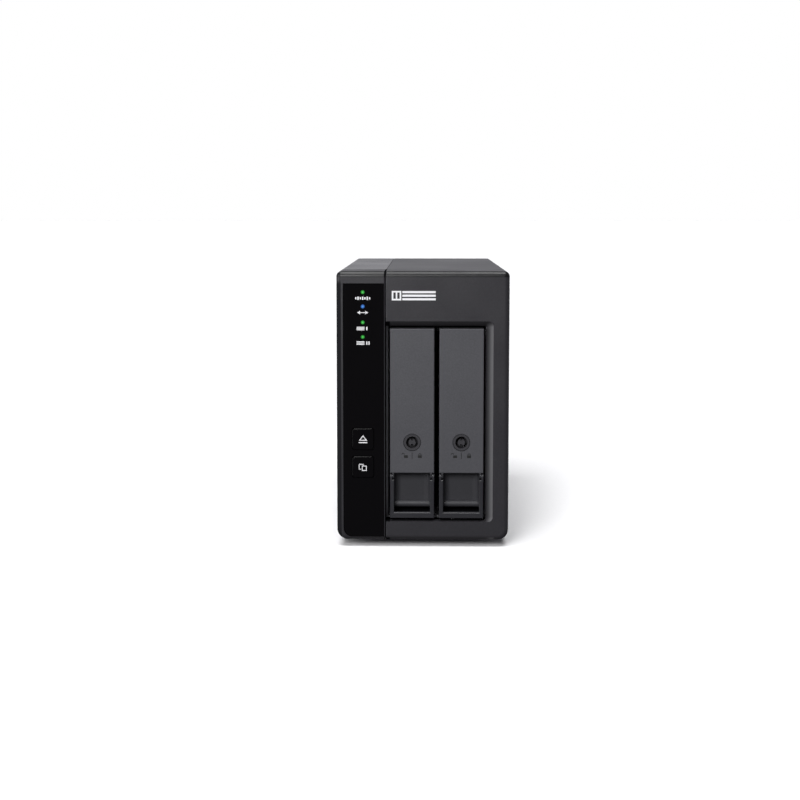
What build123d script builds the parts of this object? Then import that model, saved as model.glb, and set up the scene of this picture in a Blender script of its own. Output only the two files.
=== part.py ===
"""Two-bay desktop storage box: shells, front panel, locking drive trays, cage, boards, fan and rear panel.

Millimetres. X is to the right, Y to the back and Z up, seen from the front. The origin is under the middle
of the box, on the surface that its feet stand on. Everything is drawn with the underside of the shells at
Z = 0, and save() lifts it by the height of the feet.
"""
import os

from build123d import *

# ---- overall ----
WIDTH = 102.0
DEPTH = 219.0
BODY_HEIGHT = 160.3
FOOT_HEIGHT = 4.0

# ---- shells ----
WALL = 2.5
BOTTOM_RADIUS = 6.5
TOP_RADIUS = 3.2
EDGE_ROUND = 3.0
SEAM_ROUND = 0.8
SEAM_GAP = 0.3
SIDE_BLOCK_WIDTH = 28.9
BEZEL_DEPTH = 28.0
JOINT_GAP = 0.3
LIP = 1.2
LIP_LENGTH = 4.0
BOSS = 8.0
BOSS_LENGTH = 20.0
BOSS_HOLE = 14.0
TONGUE_START = 6.0
SCREW_PILOT = 1.5

# ---- hard drives (3.5 inch form) and their trays ----
DRIVE_HEIGHT = 101.6
DRIVE_THICKNESS = 26.1
DRIVE_LENGTH = 147.0
DRIVE_LID = 1.0
DRIVE_BOARD = 1.6
DRIVE_CLEARANCE = 0.15
DRIVE_HOLES = (28.5, 130.1)
DRIVE_ROUND = 3.0
DRIVE_HOLE_DEPTH = 6.0
DISK_AXIS = 50.0
CHAMBER_RADIUS = 46.0
CHAMBER_DEPTH = 17.0
LID_DISC = 44.0
LID_STEP = 0.4
LID_MARGIN = (2.0, 4.0)
PLUG_FROM_RIGHT = (8.5, 3.5)
PLUG_FROM_BOTTOM = (12.0, 45.4)
PLUG_DEPTH = 5.0
DRIVE_BOARD_START = 45.0
DRIVE_BOARD_EDGE = 3.0
MOTOR_RADIUS = 16.0
TRAY_SIDE = 0.05
TRAY_SPACE = 3.0
TRAY_RAIL = 5.85
TRAY_BOTTOM = 13.1
TRAY_INSET = 1.2
FASCIA_DEPTH = 14.3
FASCIA_PLATE = 2.5
FASCIA_WALL = 1.5
FASCIA_EDGE = 0.5
SLED_FRONT = 3.0
SLED_SHORT = 6.0
SLED_VENT = (16.0, 4.0)
SLED_VENT_ZS = (45.0, 65.0, 85.0, 105.0)
SCREW_SINK = 2.2
DRIVE_SCREW_HEAD = 1.5
DRIVE_SCREW_LENGTH = 8.0
DRIVE_GAP = 1.0

# ---- pull handle at the foot of each tray ----
HANDLE_HEIGHT = 26.6
HANDLE_SEAM = 0.6
HANDLE_DEPTH = 3.4
HANDLE_BAR = 2.4
HANDLE_LIP = 3.4
HANDLE_LIP_DEPTH = 3.0
HANDLE_GAP = 0.3
PIN_RADIUS = 0.7
PIN_CLEARANCE = 0.05
PIN_END_GAP = 0.3
LUG_WIDTH = 1.1
LUG_RADIUS = 1.4
LUG_GAP = 0.15
LUG_CLEARANCE = 0.3
HANDLE_EDGE = 0.3
SCOOP_DEPTH = 4.3
SCOOP_CORNER = 3.8
SCOOP_LEDGE = 7.2
SCOOP_BEAD = 2.2
HOLLOW_ROUND = 3.0

# ---- key lock on each tray ----
LOCK_HEIGHT = 45.6
LOCK_RADIUS = 5.2
LOCK_CLEARANCE = 0.08
LOCK_SLEEVE = 1.5
LOCK_SOCKET = 3.6
LOCK_POST = 2.1
LOCK_SOCKET_DEPTH = 6.0
KEYWAY = 0.9
CAM_LENGTH = 10.6
CAM_THICKNESS = 1.5
CAM_WIDTH = 5.2
LOCK_SQUARE = 4.0
LOCK_BACK_ROOM = 1.4
LOCK_RECESS = 0.2
LOCK_EDGE = 0.35
KEYWAY_DEPTH = 4.5
KEYWAY_START = 1.1

# ---- pocket in the front bezel ----
POCKET_MARGIN = 2.7
POCKET_RIGHT = 1.4
POCKET_BELOW = 1.9
POCKET_ABOVE = 1.4
POCKET_DEPTH = 5.0
POCKET_SLOPE_SIDE = 4.4
POCKET_SLOPE_TOP = 3.1
POCKET_RIM = 2.0
POCKET_MOUTH_ROUND = 3.0
POCKET_THROAT_ROUND = 1.0
POCKET_PAST_SEAM = 4.0

# ---- cage and guides ----
SHEET = 1.2
CAGE_START = 14.0
GUIDE_BASE = 1.0
GUIDE_FLANGE = 1.0
GUIDE_HEIGHT = 4.0
GUIDE_CLEARANCE = 0.25
CAGE_LEG = 10.0
CAGE_LEG_INSET = 20.0
WINDOW_SIZE = (20.0, 16.0)
WINDOW_YS = (30.0, 65.0, 100.0)
WINDOW_ZS = (32.0, 62.0, 92.0)

# ---- front control panel ----
PANEL_PLATE = 3.2
LENS_THICKNESS = 1.6
LENS_INSET = 0.3
LENS_LEFT = 4.0
LENS_RIGHT = 0.9
LENS_BELOW = 2.1
LENS_ABOVE = 7.2
LENS_CORNER = 5.0
LENS_FIT = 0.1
LENS_EDGE = 0.25
BUTTON_SIZE = 12.6
BUTTON_ROUND = 1.5
BUTTON_EDGE = 0.4
BUTTON_INSET = 0.1
BUTTON_CLEARANCE = 0.15
BUTTON_FLANGE = 0.9
BUTTON_TRAVEL = 0.8
BUTTON_TOP = 60.8
BUTTON_SPACE = 4.1
LIGHT_DROPS = (12.3, 20.7, 30.1, 38.7)
LIGHT_RADIUS = 1.1
LIGHT_FIT = 0.1
CONTROL_X = 15.6
CONTROL_BOARD_BACK = 13.0
CONTROL_BOARD_LOW = 28.0
CONTROL_POSTS = ((7.0, 90.0), (23.4, 76.0))
CONTROL_POST_RADIUS = 2.0
BOARD = 1.6
DIODE_SIZE = 3.0
DIODE_HEIGHT = 2.0
PIPE_ROOT = 0.6
SWITCH_SIZE = 6.0
SWITCH_HEIGHT = 3.6
PLUNGER_HEIGHT = 0.8
PLUNGER_RADIUS = 1.7
STEM_RADIUS = 2.0
STEM_GAP = 0.4
FLANGE_GAP = 0.2
FLANGE_THICKNESS = 1.0

# ---- rear ----
PANEL_THICKNESS = 2.0
PANEL_INSET = 2.3
PANEL_FIT = 0.2
FAN_SIZE = 70.0
FAN_DEPTH = 25.0
FAN_WALL = 1.5
FAN_HOLE_INSET = 5.0
FAN_HUB = 14.0
FAN_TIP_GAP = 0.9
FAN_BLADES = 7
FAN_HEIGHT = 80.0
FAN_CORNER = 4.0
FAN_PLATE = 4.0
FAN_DUCT = 1.4
FAN_STRUT = 3.0
FAN_STRUT_ANGLES = (20, 110, 200, 290)
FAN_BEARING = 3.5
HUB_WALL = 1.4
BLADE_PITCH = 38
BLADE_THICKNESS = 1.4
BLADE_CHORD = 28.0
GRILLE_SPOKE_TURN = 45
GRILLE_RINGS = 4
GRILLE_SLOT = 3.4
GRILLE_RIB = 1.6
SHAFT_RADIUS = 1.5
SHAFT_CLEARANCE = 0.05
BACKPLANE_GAP = 7.0
JACK_RADIUS = 3.1
JACK_PIN = 1.25
JACK_COLLAR = 0.8
SET_BUTTON_RADIUS = 1.75
SLIDER_TRAVEL = 2.0
SLIDER_SIZE = 1.4
SLIDER_SLOT = 2.0
MODE_HOUSING = (3.0, 4.0, 6.8)
MODE_IN = 4.0
SWITCH_ROOM = 4.0
ROCKER_SIZE = (12.6, 18.6)
ROCKER_TILT = 8.0
ROCKER_SLOPE = 9.0
ROCKER_PIN = 1.2
ROCKER_PIVOT = 2.6
ROCKER_WALL = 1.2
SWITCH_DEPTH = 12.0
SWITCH_FLANGE = 1.0
SWITCH_INSET = 1.6
SOCKET_SIZE = (3.3, 9.8, 9.0)
SOCKET_WALL = 0.35
SOCKET_ROOM = 0.3
SOCKET_Z = 34.0
JACK_SIZE = (11.0, 13.0, 10.0)
JACK_Z = 54.0
MODE_Z = (74.0, 84.0, 94.0)
POWER_Z = 122.0
LOCK_SLOT = (3.0, 7.0)
LOCK_SLOT_PLACE = (14.0, 26.0)
BACKPLANE_SLOT = (9.0, 2.0)
BACKPLANE_EDGE = 12.0
BOARD_START = 50.0
BOARD_ZS = (20.0, 142.0)
STANDOFF_FROM = (57.5, 139.0)
STANDOFF_ZS = (26.0, 120.0)
STANDOFF_RADIUS = 2.6
CONNECTOR_WIDTH = 7.0
CONNECTOR_ZS = (50.0, 90.0)
CONNECTOR_WALL = 1.0
CHIP_SIZE = 20.0
CHIP_HEIGHT = 1.6
CHIP_Y = 100.0
CHIP_Z = 80.0
SINK_SIZE = 28.0
SINK_BASE = 2.5
SINK_FINS = 7
FIN_HEIGHT = 9.0
FIN_THICKNESS = 1.2

# ---- feet and screws ----
FOOT_RADIUS = 6.5
FOOT_INSET = 14.0
FOOT_SETBACK = 36.0
SCREW = 1.45
SCREW_FIT = 0.05
SCREW_HEAD = 2.7
HEAD_HEIGHT = 1.7
REAR_SCREW_LENGTH = 12.0
FOOT_EDGE = 0.8
FOOT_WEB = 1.6

# ---- places worked out from the sizes above ----
TRAY_WIDTH = DRIVE_THICKNESS + 2 * TRAY_SIDE
TRAY_PITCH = TRAY_WIDTH + TRAY_SPACE
TRAY_HEIGHT = DRIVE_HEIGHT + 2 * TRAY_RAIL
LEFT = -WIDTH / 2
RIGHT = WIDTH / 2
FRONT = -DEPTH / 2
REAR = DEPTH / 2
SEAM = LEFT + SIDE_BLOCK_WIDTH
BEZEL_BACK = FRONT + BEZEL_DEPTH
TRAY_FRONT = FRONT + TRAY_INSET
FASCIA_BACK = TRAY_FRONT + FASCIA_DEPTH
DRIVE_FRONT = FASCIA_BACK + SLED_FRONT + DRIVE_GAP
DRIVE_BACK = DRIVE_FRONT + DRIVE_LENGTH
TRAY_TOP = TRAY_BOTTOM + TRAY_HEIGHT
TRAY_XS = [SEAM + POCKET_MARGIN + TRAY_WIDTH / 2 + number * TRAY_PITCH for number in (0, 1)]
TRAYS_RIGHT = TRAY_XS[-1] + TRAY_WIDTH / 2
BACKPLANE = DRIVE_BACK + BACKPLANE_GAP
CAGE_X = (TRAY_XS[0] - TRAY_PITCH / 2, TRAY_XS[-1] + TRAY_PITCH / 2)
CAGE_Z = (TRAY_BOTTOM - GUIDE_CLEARANCE - GUIDE_BASE, TRAY_TOP + GUIDE_CLEARANCE + GUIDE_BASE)
PANEL_BACK = REAR - PANEL_INSET
PANEL_FACE = PANEL_BACK - PANEL_THICKNESS
FAN_FRONT = PANEL_FACE - FAN_DEPTH
FAN_X = SEAM + FAN_SIZE / 2 - 0.5
FAN_BORE = FAN_SIZE / 2 - FAN_WALL
FAN_HOLES = FAN_SIZE - 2 * FAN_HOLE_INSET
BOARD_LEFT = CAGE_X[0] - SHEET - 4.5
BOARD_RIGHT = BOARD_LEFT + BOARD
PIVOT_Y = TRAY_FRONT + HANDLE_DEPTH / 2
PIVOT_Z = TRAY_BOTTOM + HANDLE_HEIGHT - HANDLE_DEPTH / 2
LOCK_Z = TRAY_BOTTOM + LOCK_HEIGHT
CONTROL_LINE = LEFT + CONTROL_X
LENS_FRONT = FRONT + LENS_INSET
LENS_BACK = LENS_FRONT + LENS_THICKNESS
REAR_X = BOARD_LEFT
BUTTON_HEIGHTS = (BUTTON_TOP, BUTTON_TOP - BUTTON_SIZE - BUTTON_SPACE)
FOOT_X = WIDTH / 2 - FOOT_INSET


# ---- helpers ----
def block(xs, ys, zs):
    """A box between pairs of limits."""
    middle = [sum(pair) / 2 for pair in (xs, ys, zs)]
    return Pos(*middle) * Box(xs[1] - xs[0], ys[1] - ys[0], zs[1] - zs[0])


def rod_x(radius, xs, y, z):
    return Pos(sum(xs) / 2, y, z) * Rot(0, 90, 0) * Cylinder(radius, xs[1] - xs[0])


def rod_y(radius, x, ys, z):
    return Pos(x, sum(ys) / 2, z) * Rot(90, 0, 0) * Cylinder(radius, ys[1] - ys[0])


def rod_z(radius, x, y, zs):
    return Pos(x, y, sum(zs) / 2) * Cylinder(radius, zs[1] - zs[0])


def round_edge(solid, axis, near, radius):
    """Fillets the edge along an axis whose middle is nearest to a point."""
    edge = solid.edges().filter_by(axis).sort_by_distance(near)[0]
    return fillet(edge, radius)


def prism(xs, ys, zs, radii):
    """A box along Y with rounded corners: lower left, lower right, upper right, upper left."""
    solid = block(xs, ys, zs)
    corners = ((xs[0], zs[0]), (xs[1], zs[0]), (xs[1], zs[1]), (xs[0], zs[1]))
    for (x, z), radius in zip(corners, radii):
        if radius > 0:
            solid = round_edge(solid, Axis.Y, (x, sum(ys) / 2, z), radius)
    return solid


def pad(size, height, round_radius, x, ys, z):
    """A rounded pad with its broad face across Y."""
    half = size / 2
    tall = height / 2
    return prism((x - half, x + half), ys, (z - tall, z + tall), [round_radius] * 4)


def screw_y(x, z, head_back, length):
    """A pan-head screw that enters towards the front: its head ends at head_back."""
    head = rod_y(SCREW_HEAD, x, (head_back - HEAD_HEIGHT, head_back), z)
    shank = rod_y(SCREW, x, (head_back - HEAD_HEIGHT - length, head_back - HEAD_HEIGHT), z)
    return head + shank - block((x - 2, x + 2), (head_back - 0.8, head_back + 1), (z - 0.3, z + 0.3))


def save(name, solids):
    """Writes one named piece, a solid or a list of separate solids, standing on its feet."""
    pieces = solids if isinstance(solids, list) else [solids]
    lifted = [Pos(0, 0, FOOT_HEIGHT) * piece for piece in pieces]
    shape = lifted[0] if len(lifted) == 1 else Compound(children=lifted)
    export_step(shape, f"parts/{name}.step")


# ---- outer shells ----
def cover(left, right, radii, boss_x):
    """A C-shaped shell from the bezels to the rear edge, with a boss in each outer corner."""
    ys = (BEZEL_BACK + JOINT_GAP, REAR)
    outer = prism((left, right), ys, (0, BODY_HEIGHT), radii)
    inner_radii = [max(radius - WALL, 0) for radius in radii]
    inner_x = (left + WALL, right + 1) if left == LEFT else (left - 1, right - WALL)
    inner_ys = (ys[0] - 1, ys[1] + 1)
    shell = outer - prism(inner_x, inner_ys, (WALL, BODY_HEIGHT - WALL), inner_radii)
    for z in (WALL + BOSS / 2, BODY_HEIGHT - WALL - BOSS / 2):
        boss = block(boss_x, (PANEL_FACE - BOSS_LENGTH, PANEL_FACE), (z - BOSS / 2, z + BOSS / 2))
        shell = shell + (boss & outer)
        shell = shell - rod_y(SCREW + SCREW_FIT, sum(boss_x) / 2, (PANEL_FACE - BOSS_HOLE, PANEL_FACE + 1), z)
    return shell


def foot_places():
    for x in (-FOOT_X, FOOT_X):
        for y in (FRONT + FOOT_SETBACK, REAR - FOOT_SETBACK):
            yield x, y


def foot_holes(shell):
    for x, y in foot_places():
        shell = shell - rod_z(SCREW + SCREW_FIT, x, y, (-1, WALL + 1))
    return shell


def left_cover():
    right = SEAM - SEAM_GAP / 2
    boss_x = (LEFT + WALL, LEFT + WALL + BOSS)
    return foot_holes(cover(LEFT, right, (BOTTOM_RADIUS, 0, 0, TOP_RADIUS), boss_x))


def cage_leg_places():
    for x in (TRAY_XS[0], TRAY_XS[-1]):
        for y in (DRIVE_FRONT + CAGE_LEG_INSET, DRIVE_BACK - CAGE_LEG_INSET):
            yield x, y


def right_cover():
    left = SEAM + SEAM_GAP / 2
    boss_x = (RIGHT - WALL - BOSS, RIGHT - WALL)
    shell = foot_holes(cover(left, RIGHT, (0, BOTTOM_RADIUS, TOP_RADIUS, 0), boss_x))
    for zs in ((WALL, WALL + LIP), (BODY_HEIGHT - WALL - LIP, BODY_HEIGHT - WALL)):
        tongue_y = (BEZEL_BACK + TONGUE_START, PANEL_FACE - 1)
        shell = shell + block((left - LIP_LENGTH, left + LIP_LENGTH), tongue_y, zs)
    for x, y in cage_leg_places():
        shell = shell - rod_z(SCREW + SCREW_FIT, x, y, (WALL - SCREW_PILOT, WALL + 1))
    return shell


def rounded_front(solid, seam_x):
    """Rounds the front edges of a bezel block: broad outside, fine along the seam."""
    front_edges = solid.faces().sort_by(Axis.Y)[0].edges()
    outer = [edge for edge in front_edges if abs(edge.center().X - seam_x) > 0.01]
    solid = fillet(outer, EDGE_ROUND)
    middle = (seam_x, FRONT, BODY_HEIGHT / 2)
    return round_edge(solid, Axis.Z, middle, SEAM_ROUND)


def bezel_lips(solid, xs, radii):
    """Adds the thin lip that slides inside the covers behind a bezel."""
    lip_y = (BEZEL_BACK - 2, BEZEL_BACK + LIP_LENGTH)
    inner = [max(radius - WALL, 0) for radius in radii]
    core = [max(radius - WALL - LIP, 0) for radius in radii]
    keep_left = xs[0] == LEFT
    outer_x = (xs[0] + WALL, xs[1]) if keep_left else (xs[0], xs[1] - WALL)
    inner_x = (outer_x[0] + LIP, xs[1] + 1) if keep_left else (xs[0] - 1, outer_x[1] - LIP)
    lip = prism(outer_x, lip_y, (WALL, BODY_HEIGHT - WALL), inner)
    hollow = prism(inner_x, (lip_y[0] - 1, lip_y[1] + 1), (WALL + LIP, BODY_HEIGHT - WALL - LIP), core)
    return solid + (lip - hollow)


def front_bezel():
    """The wide front frame, open on the seam side, with the sloping pocket around the trays."""
    xs = (SEAM + SEAM_GAP / 2, RIGHT)
    radii = (0, BOTTOM_RADIUS, TOP_RADIUS, 0)
    outer = prism(xs, (FRONT, BEZEL_BACK), (0, BODY_HEIGHT), radii)
    outer = rounded_front(outer, xs[0])
    inner_radii = [max(radius - WALL, 0) for radius in radii]
    hollow_x = (xs[0] - 1, RIGHT - WALL)
    hollow = prism(hollow_x, (FRONT + WALL, BEZEL_BACK + 1), (WALL, BODY_HEIGHT - WALL), inner_radii)
    right = TRAYS_RIGHT + POCKET_RIGHT
    low = TRAY_BOTTOM - POCKET_BELOW
    high = TRAY_TOP + POCKET_ABOVE
    back = FRONT + POCKET_DEPTH
    rim_x = (xs[0], right + POCKET_SLOPE_SIDE + POCKET_RIM)
    rim_z = (low - POCKET_RIM, high + POCKET_SLOPE_TOP + POCKET_RIM)
    rim = block(rim_x, (FRONT + WALL, back + 1), rim_z)
    bezel = (outer - hollow) + rim
    straight = block((xs[0] - 1, right), (FRONT - 1, back + 2), (low, high))
    open_side = xs[0] - POCKET_PAST_SEAM
    mouth_face = pocket_face(open_side, right + POCKET_SLOPE_SIDE, low, high + POCKET_SLOPE_TOP,
                             POCKET_MOUTH_ROUND)
    mouth = Plane.XZ.offset(-FRONT) * mouth_face
    throat = Plane.XZ.offset(-back) * pocket_face(open_side, right, low, high, POCKET_THROAT_ROUND)
    funnel = loft([mouth, throat], ruled=True)
    bezel = bezel - straight - funnel
    return bezel_lips(bezel, xs, radii)


def pocket_face(left, right, low, high, radius):
    """A round-cornered rectangle in the front plane, given by its limits."""
    return Pos((left + right) / 2, (low + high) / 2) * RectangleRounded(right - left, high - low, radius)


def lens_limits(fit=0.0):
    xs = (LEFT + LENS_LEFT - fit, SEAM - LENS_RIGHT + fit)
    zs = (LENS_BELOW - fit, BODY_HEIGHT - LENS_ABOVE + fit)
    return xs, zs


def light_places():
    return [BODY_HEIGHT - drop for drop in LIGHT_DROPS]


def panel_bezel():
    """The narrow front frame at the left, with the recess for the glossy lens."""
    xs = (LEFT, SEAM - SEAM_GAP / 2)
    radii = (BOTTOM_RADIUS, 0, 0, TOP_RADIUS)
    outer = prism(xs, (FRONT, BEZEL_BACK), (0, BODY_HEIGHT), radii)
    outer = rounded_front(outer, xs[1])
    inner_radii = [max(radius - WALL, 0) for radius in radii]
    hollow = prism((LEFT + WALL, xs[1] - POCKET_RIM), (FRONT + PANEL_PLATE, BEZEL_BACK + 1),
                   (WALL, BODY_HEIGHT - WALL), inner_radii)
    bezel = outer - hollow
    lens_x, lens_z = lens_limits(LENS_FIT)
    recess = prism(lens_x, (FRONT - 1, LENS_BACK), lens_z, (LENS_CORNER, 0, 0, 0))
    bezel = bezel - recess
    for z in BUTTON_HEIGHTS:
        size = BUTTON_SIZE + 2 * BUTTON_CLEARANCE
        bezel = bezel - pad(size, size, BUTTON_ROUND, CONTROL_LINE, (FRONT, FRONT + PANEL_PLATE + 1), z)
    for z in light_places():
        bezel = bezel - rod_y(LIGHT_RADIUS + LIGHT_FIT, CONTROL_LINE, (FRONT, FRONT + PANEL_PLATE + 1), z)
    board_front = FRONT + CONTROL_BOARD_BACK
    for across, z in CONTROL_POSTS:
        bezel = bezel + rod_y(CONTROL_POST_RADIUS, LEFT + across, (FRONT + PANEL_PLATE - 0.5, board_front), z)
    return bezel_lips(bezel, xs, radii)


# ---- control panel ----
def panel_lens():
    xs, zs = lens_limits()
    lens = prism(xs, (LENS_FRONT, LENS_BACK), zs, (LENS_CORNER, 0, 0, 0))
    for z in BUTTON_HEIGHTS:
        size = BUTTON_SIZE + 2 * BUTTON_CLEARANCE
        lens = lens - pad(size, size, BUTTON_ROUND, CONTROL_LINE, (FRONT, LENS_BACK + 1), z)
    lens = chamfer(lens.faces().sort_by(Axis.Y)[0].edges(), LENS_EDGE)
    for z in light_places():
        lens = lens - rod_y(LIGHT_RADIUS + LIGHT_FIT, CONTROL_LINE, (FRONT, LENS_BACK + 1), z)
    return lens


def light_pipe(z):
    """A clear pin from the lens face to its diode, with a wider root."""
    diode_front = FRONT + CONTROL_BOARD_BACK - DIODE_HEIGHT
    pin = rod_y(LIGHT_RADIUS, CONTROL_LINE, (LENS_FRONT - 0.1, diode_front), z)
    root = rod_y(LIGHT_RADIUS + PIPE_ROOT, CONTROL_LINE, (FRONT + PANEL_PLATE, diode_front), z)
    return pin + root


def push_button(z):
    """A square cap with a flange behind the plate and a stem towards its switch."""
    cap_y = (FRONT + BUTTON_INSET, FRONT + PANEL_PLATE + 0.6)
    cap = pad(BUTTON_SIZE, BUTTON_SIZE, BUTTON_ROUND, CONTROL_LINE, cap_y, z)
    cap = fillet(cap.faces().sort_by(Axis.Y)[0].edges(), BUTTON_EDGE)
    wide = BUTTON_SIZE + 2 * BUTTON_FLANGE
    flange_front = FRONT + PANEL_PLATE + FLANGE_GAP
    flange_y = (flange_front, flange_front + FLANGE_THICKNESS)
    flange = pad(wide, wide, BUTTON_ROUND, CONTROL_LINE, flange_y, z)
    plunger = FRONT + CONTROL_BOARD_BACK - SWITCH_HEIGHT - PLUNGER_HEIGHT
    stem = rod_y(STEM_RADIUS, CONTROL_LINE, (flange_front, plunger - BUTTON_TRAVEL - STEM_GAP), z)
    return cap + flange + stem


def control_board():
    ys = (FRONT + CONTROL_BOARD_BACK, FRONT + CONTROL_BOARD_BACK + BOARD)
    return block((LEFT + WALL + 1, SEAM - POCKET_RIM - 1), ys, (CONTROL_BOARD_LOW, BODY_HEIGHT - WALL - 1.5))


def panel_switches():
    """One small push switch behind each front button."""
    board_front = FRONT + CONTROL_BOARD_BACK
    switches = []
    for z in BUTTON_HEIGHTS:
        body = pad(SWITCH_SIZE, SWITCH_SIZE, 0, CONTROL_LINE, (board_front - SWITCH_HEIGHT, board_front), z)
        plunger = (board_front - SWITCH_HEIGHT - PLUNGER_HEIGHT, board_front - SWITCH_HEIGHT)
        switches.append(body + rod_y(PLUNGER_RADIUS, CONTROL_LINE, plunger, z))
    return switches


def panel_diodes():
    board_front = FRONT + CONTROL_BOARD_BACK
    ys = (board_front - DIODE_HEIGHT, board_front)
    return [pad(DIODE_SIZE, DIODE_SIZE, 0, CONTROL_LINE, ys, z) for z in light_places()]


# ---- drive trays ----
def tray_fascia(x):
    """The front of a tray: a hollow box above, and the finger scoop behind the handle below."""
    half = TRAY_WIDTH / 2
    xs = (x - half, x + half)
    split = TRAY_BOTTOM + HANDLE_HEIGHT + HANDLE_SEAM
    upper = block(xs, (TRAY_FRONT, FASCIA_BACK), (split, TRAY_TOP))
    upper = fillet(upper.faces().sort_by(Axis.Y)[0].edges(), FASCIA_EDGE)
    room_x = (xs[0] + FASCIA_WALL, xs[1] - FASCIA_WALL)
    room_y = (TRAY_FRONT + FASCIA_PLATE, FASCIA_BACK + 1)
    room = block(room_x, room_y, (split + FASCIA_WALL, TRAY_TOP - FASCIA_WALL))
    scoop_front = TRAY_FRONT + HANDLE_DEPTH + HANDLE_GAP
    lower = block(xs, (scoop_front, FASCIA_BACK), (TRAY_BOTTOM, split + FASCIA_WALL))
    fascia = (upper - room) + lower
    fascia = fascia - scoop(x, scoop_front, split)
    bead_x = (x - half + HANDLE_BAR, x + half - HANDLE_BAR)
    fascia = fascia + rod_x(SCOOP_BEAD, bead_x, scoop_front + SCOOP_DEPTH, TRAY_BOTTOM + SCOOP_LEDGE)
    for side in (-1, 1):
        fascia = fascia + handle_lug(x, side, scoop_front, split)
    sleeve = rod_y(LOCK_RADIUS + LOCK_CLEARANCE + LOCK_SLEEVE, x, (TRAY_FRONT + 1, lock_back()), LOCK_Z)
    fascia = fascia + sleeve
    fascia = fascia - rod_y(LOCK_RADIUS + LOCK_CLEARANCE, x, (TRAY_FRONT - 1, FASCIA_BACK + 1), LOCK_Z)
    for side in (-1, 1):
        pin_x = sorted((x + side * (half - HANDLE_BAR - 1), x + side * (half + 1)))
        fascia = fascia - rod_x(PIN_RADIUS, pin_x, PIVOT_Y, PIVOT_Z)
    return fascia


def scoop(x, front, split):
    """The finger hollow: a flat back wall with round corners, and a deeper hollow below the wall's foot."""
    half = TRAY_WIDTH / 2 - HANDLE_BAR
    xs = (x - half, x + half)
    ledge = TRAY_BOTTOM + SCOOP_LEDGE
    top = split - 0.01
    deep = front + SCOOP_DEPTH
    wall = block(xs, (front - 1, deep), (ledge, top))
    for side_x in xs:
        wall = round_edge(wall, Axis.Z, (side_x, deep, (ledge + top) / 2), SCOOP_CORNER)
    back = FASCIA_BACK - FASCIA_WALL
    low = TRAY_BOTTOM + FASCIA_WALL
    hollow = block(xs, (front - 1, back), (low, ledge))
    hollow = round_edge(hollow, Axis.X, (x, back, low), HOLLOW_ROUND)
    return wall + hollow


def handle_lug(x, side, scoop_front, split):
    """A round ear in the notch at the top of each handle arm, which holds the pin."""
    inner = TRAY_WIDTH / 2 - HANDLE_BAR
    xs = sorted((x + side * inner, x + side * (inner + LUG_WIDTH)))
    arm = block(xs, (PIVOT_Y, scoop_front + 1), (PIVOT_Z - LUG_RADIUS, split + 0.5))
    neck = block(xs, (PIVOT_Y - LUG_RADIUS, PIVOT_Y), (PIVOT_Z, split + 0.5))
    return rod_x(LUG_RADIUS, xs, PIVOT_Y, PIVOT_Z) + arm + neck


def lock_back():
    return FASCIA_BACK - CAM_THICKNESS - LOCK_BACK_ROOM


def tray_handle(x):
    """A U-shaped pull: two arms that turn on pins at the top, joined by a lip below."""
    half = TRAY_WIDTH / 2
    ys = (TRAY_FRONT, TRAY_FRONT + HANDLE_DEPTH)
    shoulder = PIVOT_Z - HANDLE_DEPTH / 2 - LUG_CLEARANCE
    eye_width = HANDLE_BAR - LUG_WIDTH - LUG_GAP
    low = (TRAY_BOTTOM, TRAY_BOTTOM + HANDLE_LIP)
    handle = block((x - half, x + half), (TRAY_FRONT, TRAY_FRONT + HANDLE_LIP_DEPTH), low)
    for side in (-1, 1):
        arm_x = sorted((x + side * half, x + side * (half - HANDLE_BAR)))
        handle = handle + block(arm_x, ys, (TRAY_BOTTOM, shoulder))
    front_edges = handle.faces().sort_by(Axis.Y)[0].edges()
    handle = chamfer(front_edges, HANDLE_EDGE)
    for side in (-1, 1):
        eye_x = sorted((x + side * half, x + side * (half - eye_width)))
        eye = block(eye_x, ys, (shoulder - 1, PIVOT_Z)) + rod_x(HANDLE_DEPTH / 2, eye_x, PIVOT_Y, PIVOT_Z)
        hole_x = (eye_x[0] - 1, eye_x[1] + 1)
        handle = handle + eye - rod_x(PIN_RADIUS + PIN_CLEARANCE, hole_x, PIVOT_Y, PIVOT_Z)
    return handle


def handle_pins(x):
    """Two short steel pins, held in the ears, that the handle's arms turn on."""
    half = TRAY_WIDTH / 2
    pins = []
    for side in (-1, 1):
        pin_x = sorted((x + side * (half - HANDLE_BAR), x + side * (half - PIN_END_GAP)))
        pins.append(rod_x(PIN_RADIUS, pin_x, PIVOT_Y, PIVOT_Z))
    return pins


def lock_square(x, ys):
    """The square end of a barrel, which turns its cam."""
    return pad(LOCK_SQUARE, LOCK_SQUARE, 0, x, ys, LOCK_Z)


def lock_barrel(x):
    """The turning barrel: a ring around a deep round socket, with a notched post inside."""
    front = TRAY_FRONT + LOCK_RECESS
    barrel = rod_y(LOCK_RADIUS, x, (front, lock_back() + 0.2), LOCK_Z)
    barrel = chamfer(barrel.faces().sort_by(Axis.Y)[0].edges(), LOCK_EDGE)
    socket = rod_y(LOCK_SOCKET, x, (front - 1, front + LOCK_SOCKET_DEPTH), LOCK_Z)
    post = rod_y(LOCK_POST, x, (front + 0.8, front + LOCK_SOCKET_DEPTH + 1), LOCK_Z)
    for side, width in ((1, KEYWAY), (-1, KEYWAY * 1.6)):
        zs = sorted((LOCK_Z + side * KEYWAY_START, LOCK_Z + side * (LOCK_POST + 1)))
        post = post - block((x - width / 2, x + width / 2), (front, front + KEYWAY_DEPTH), zs)
    return (barrel - socket) + post + lock_square(x, (lock_back(), lock_back() + CAM_THICKNESS + 0.4))


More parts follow.
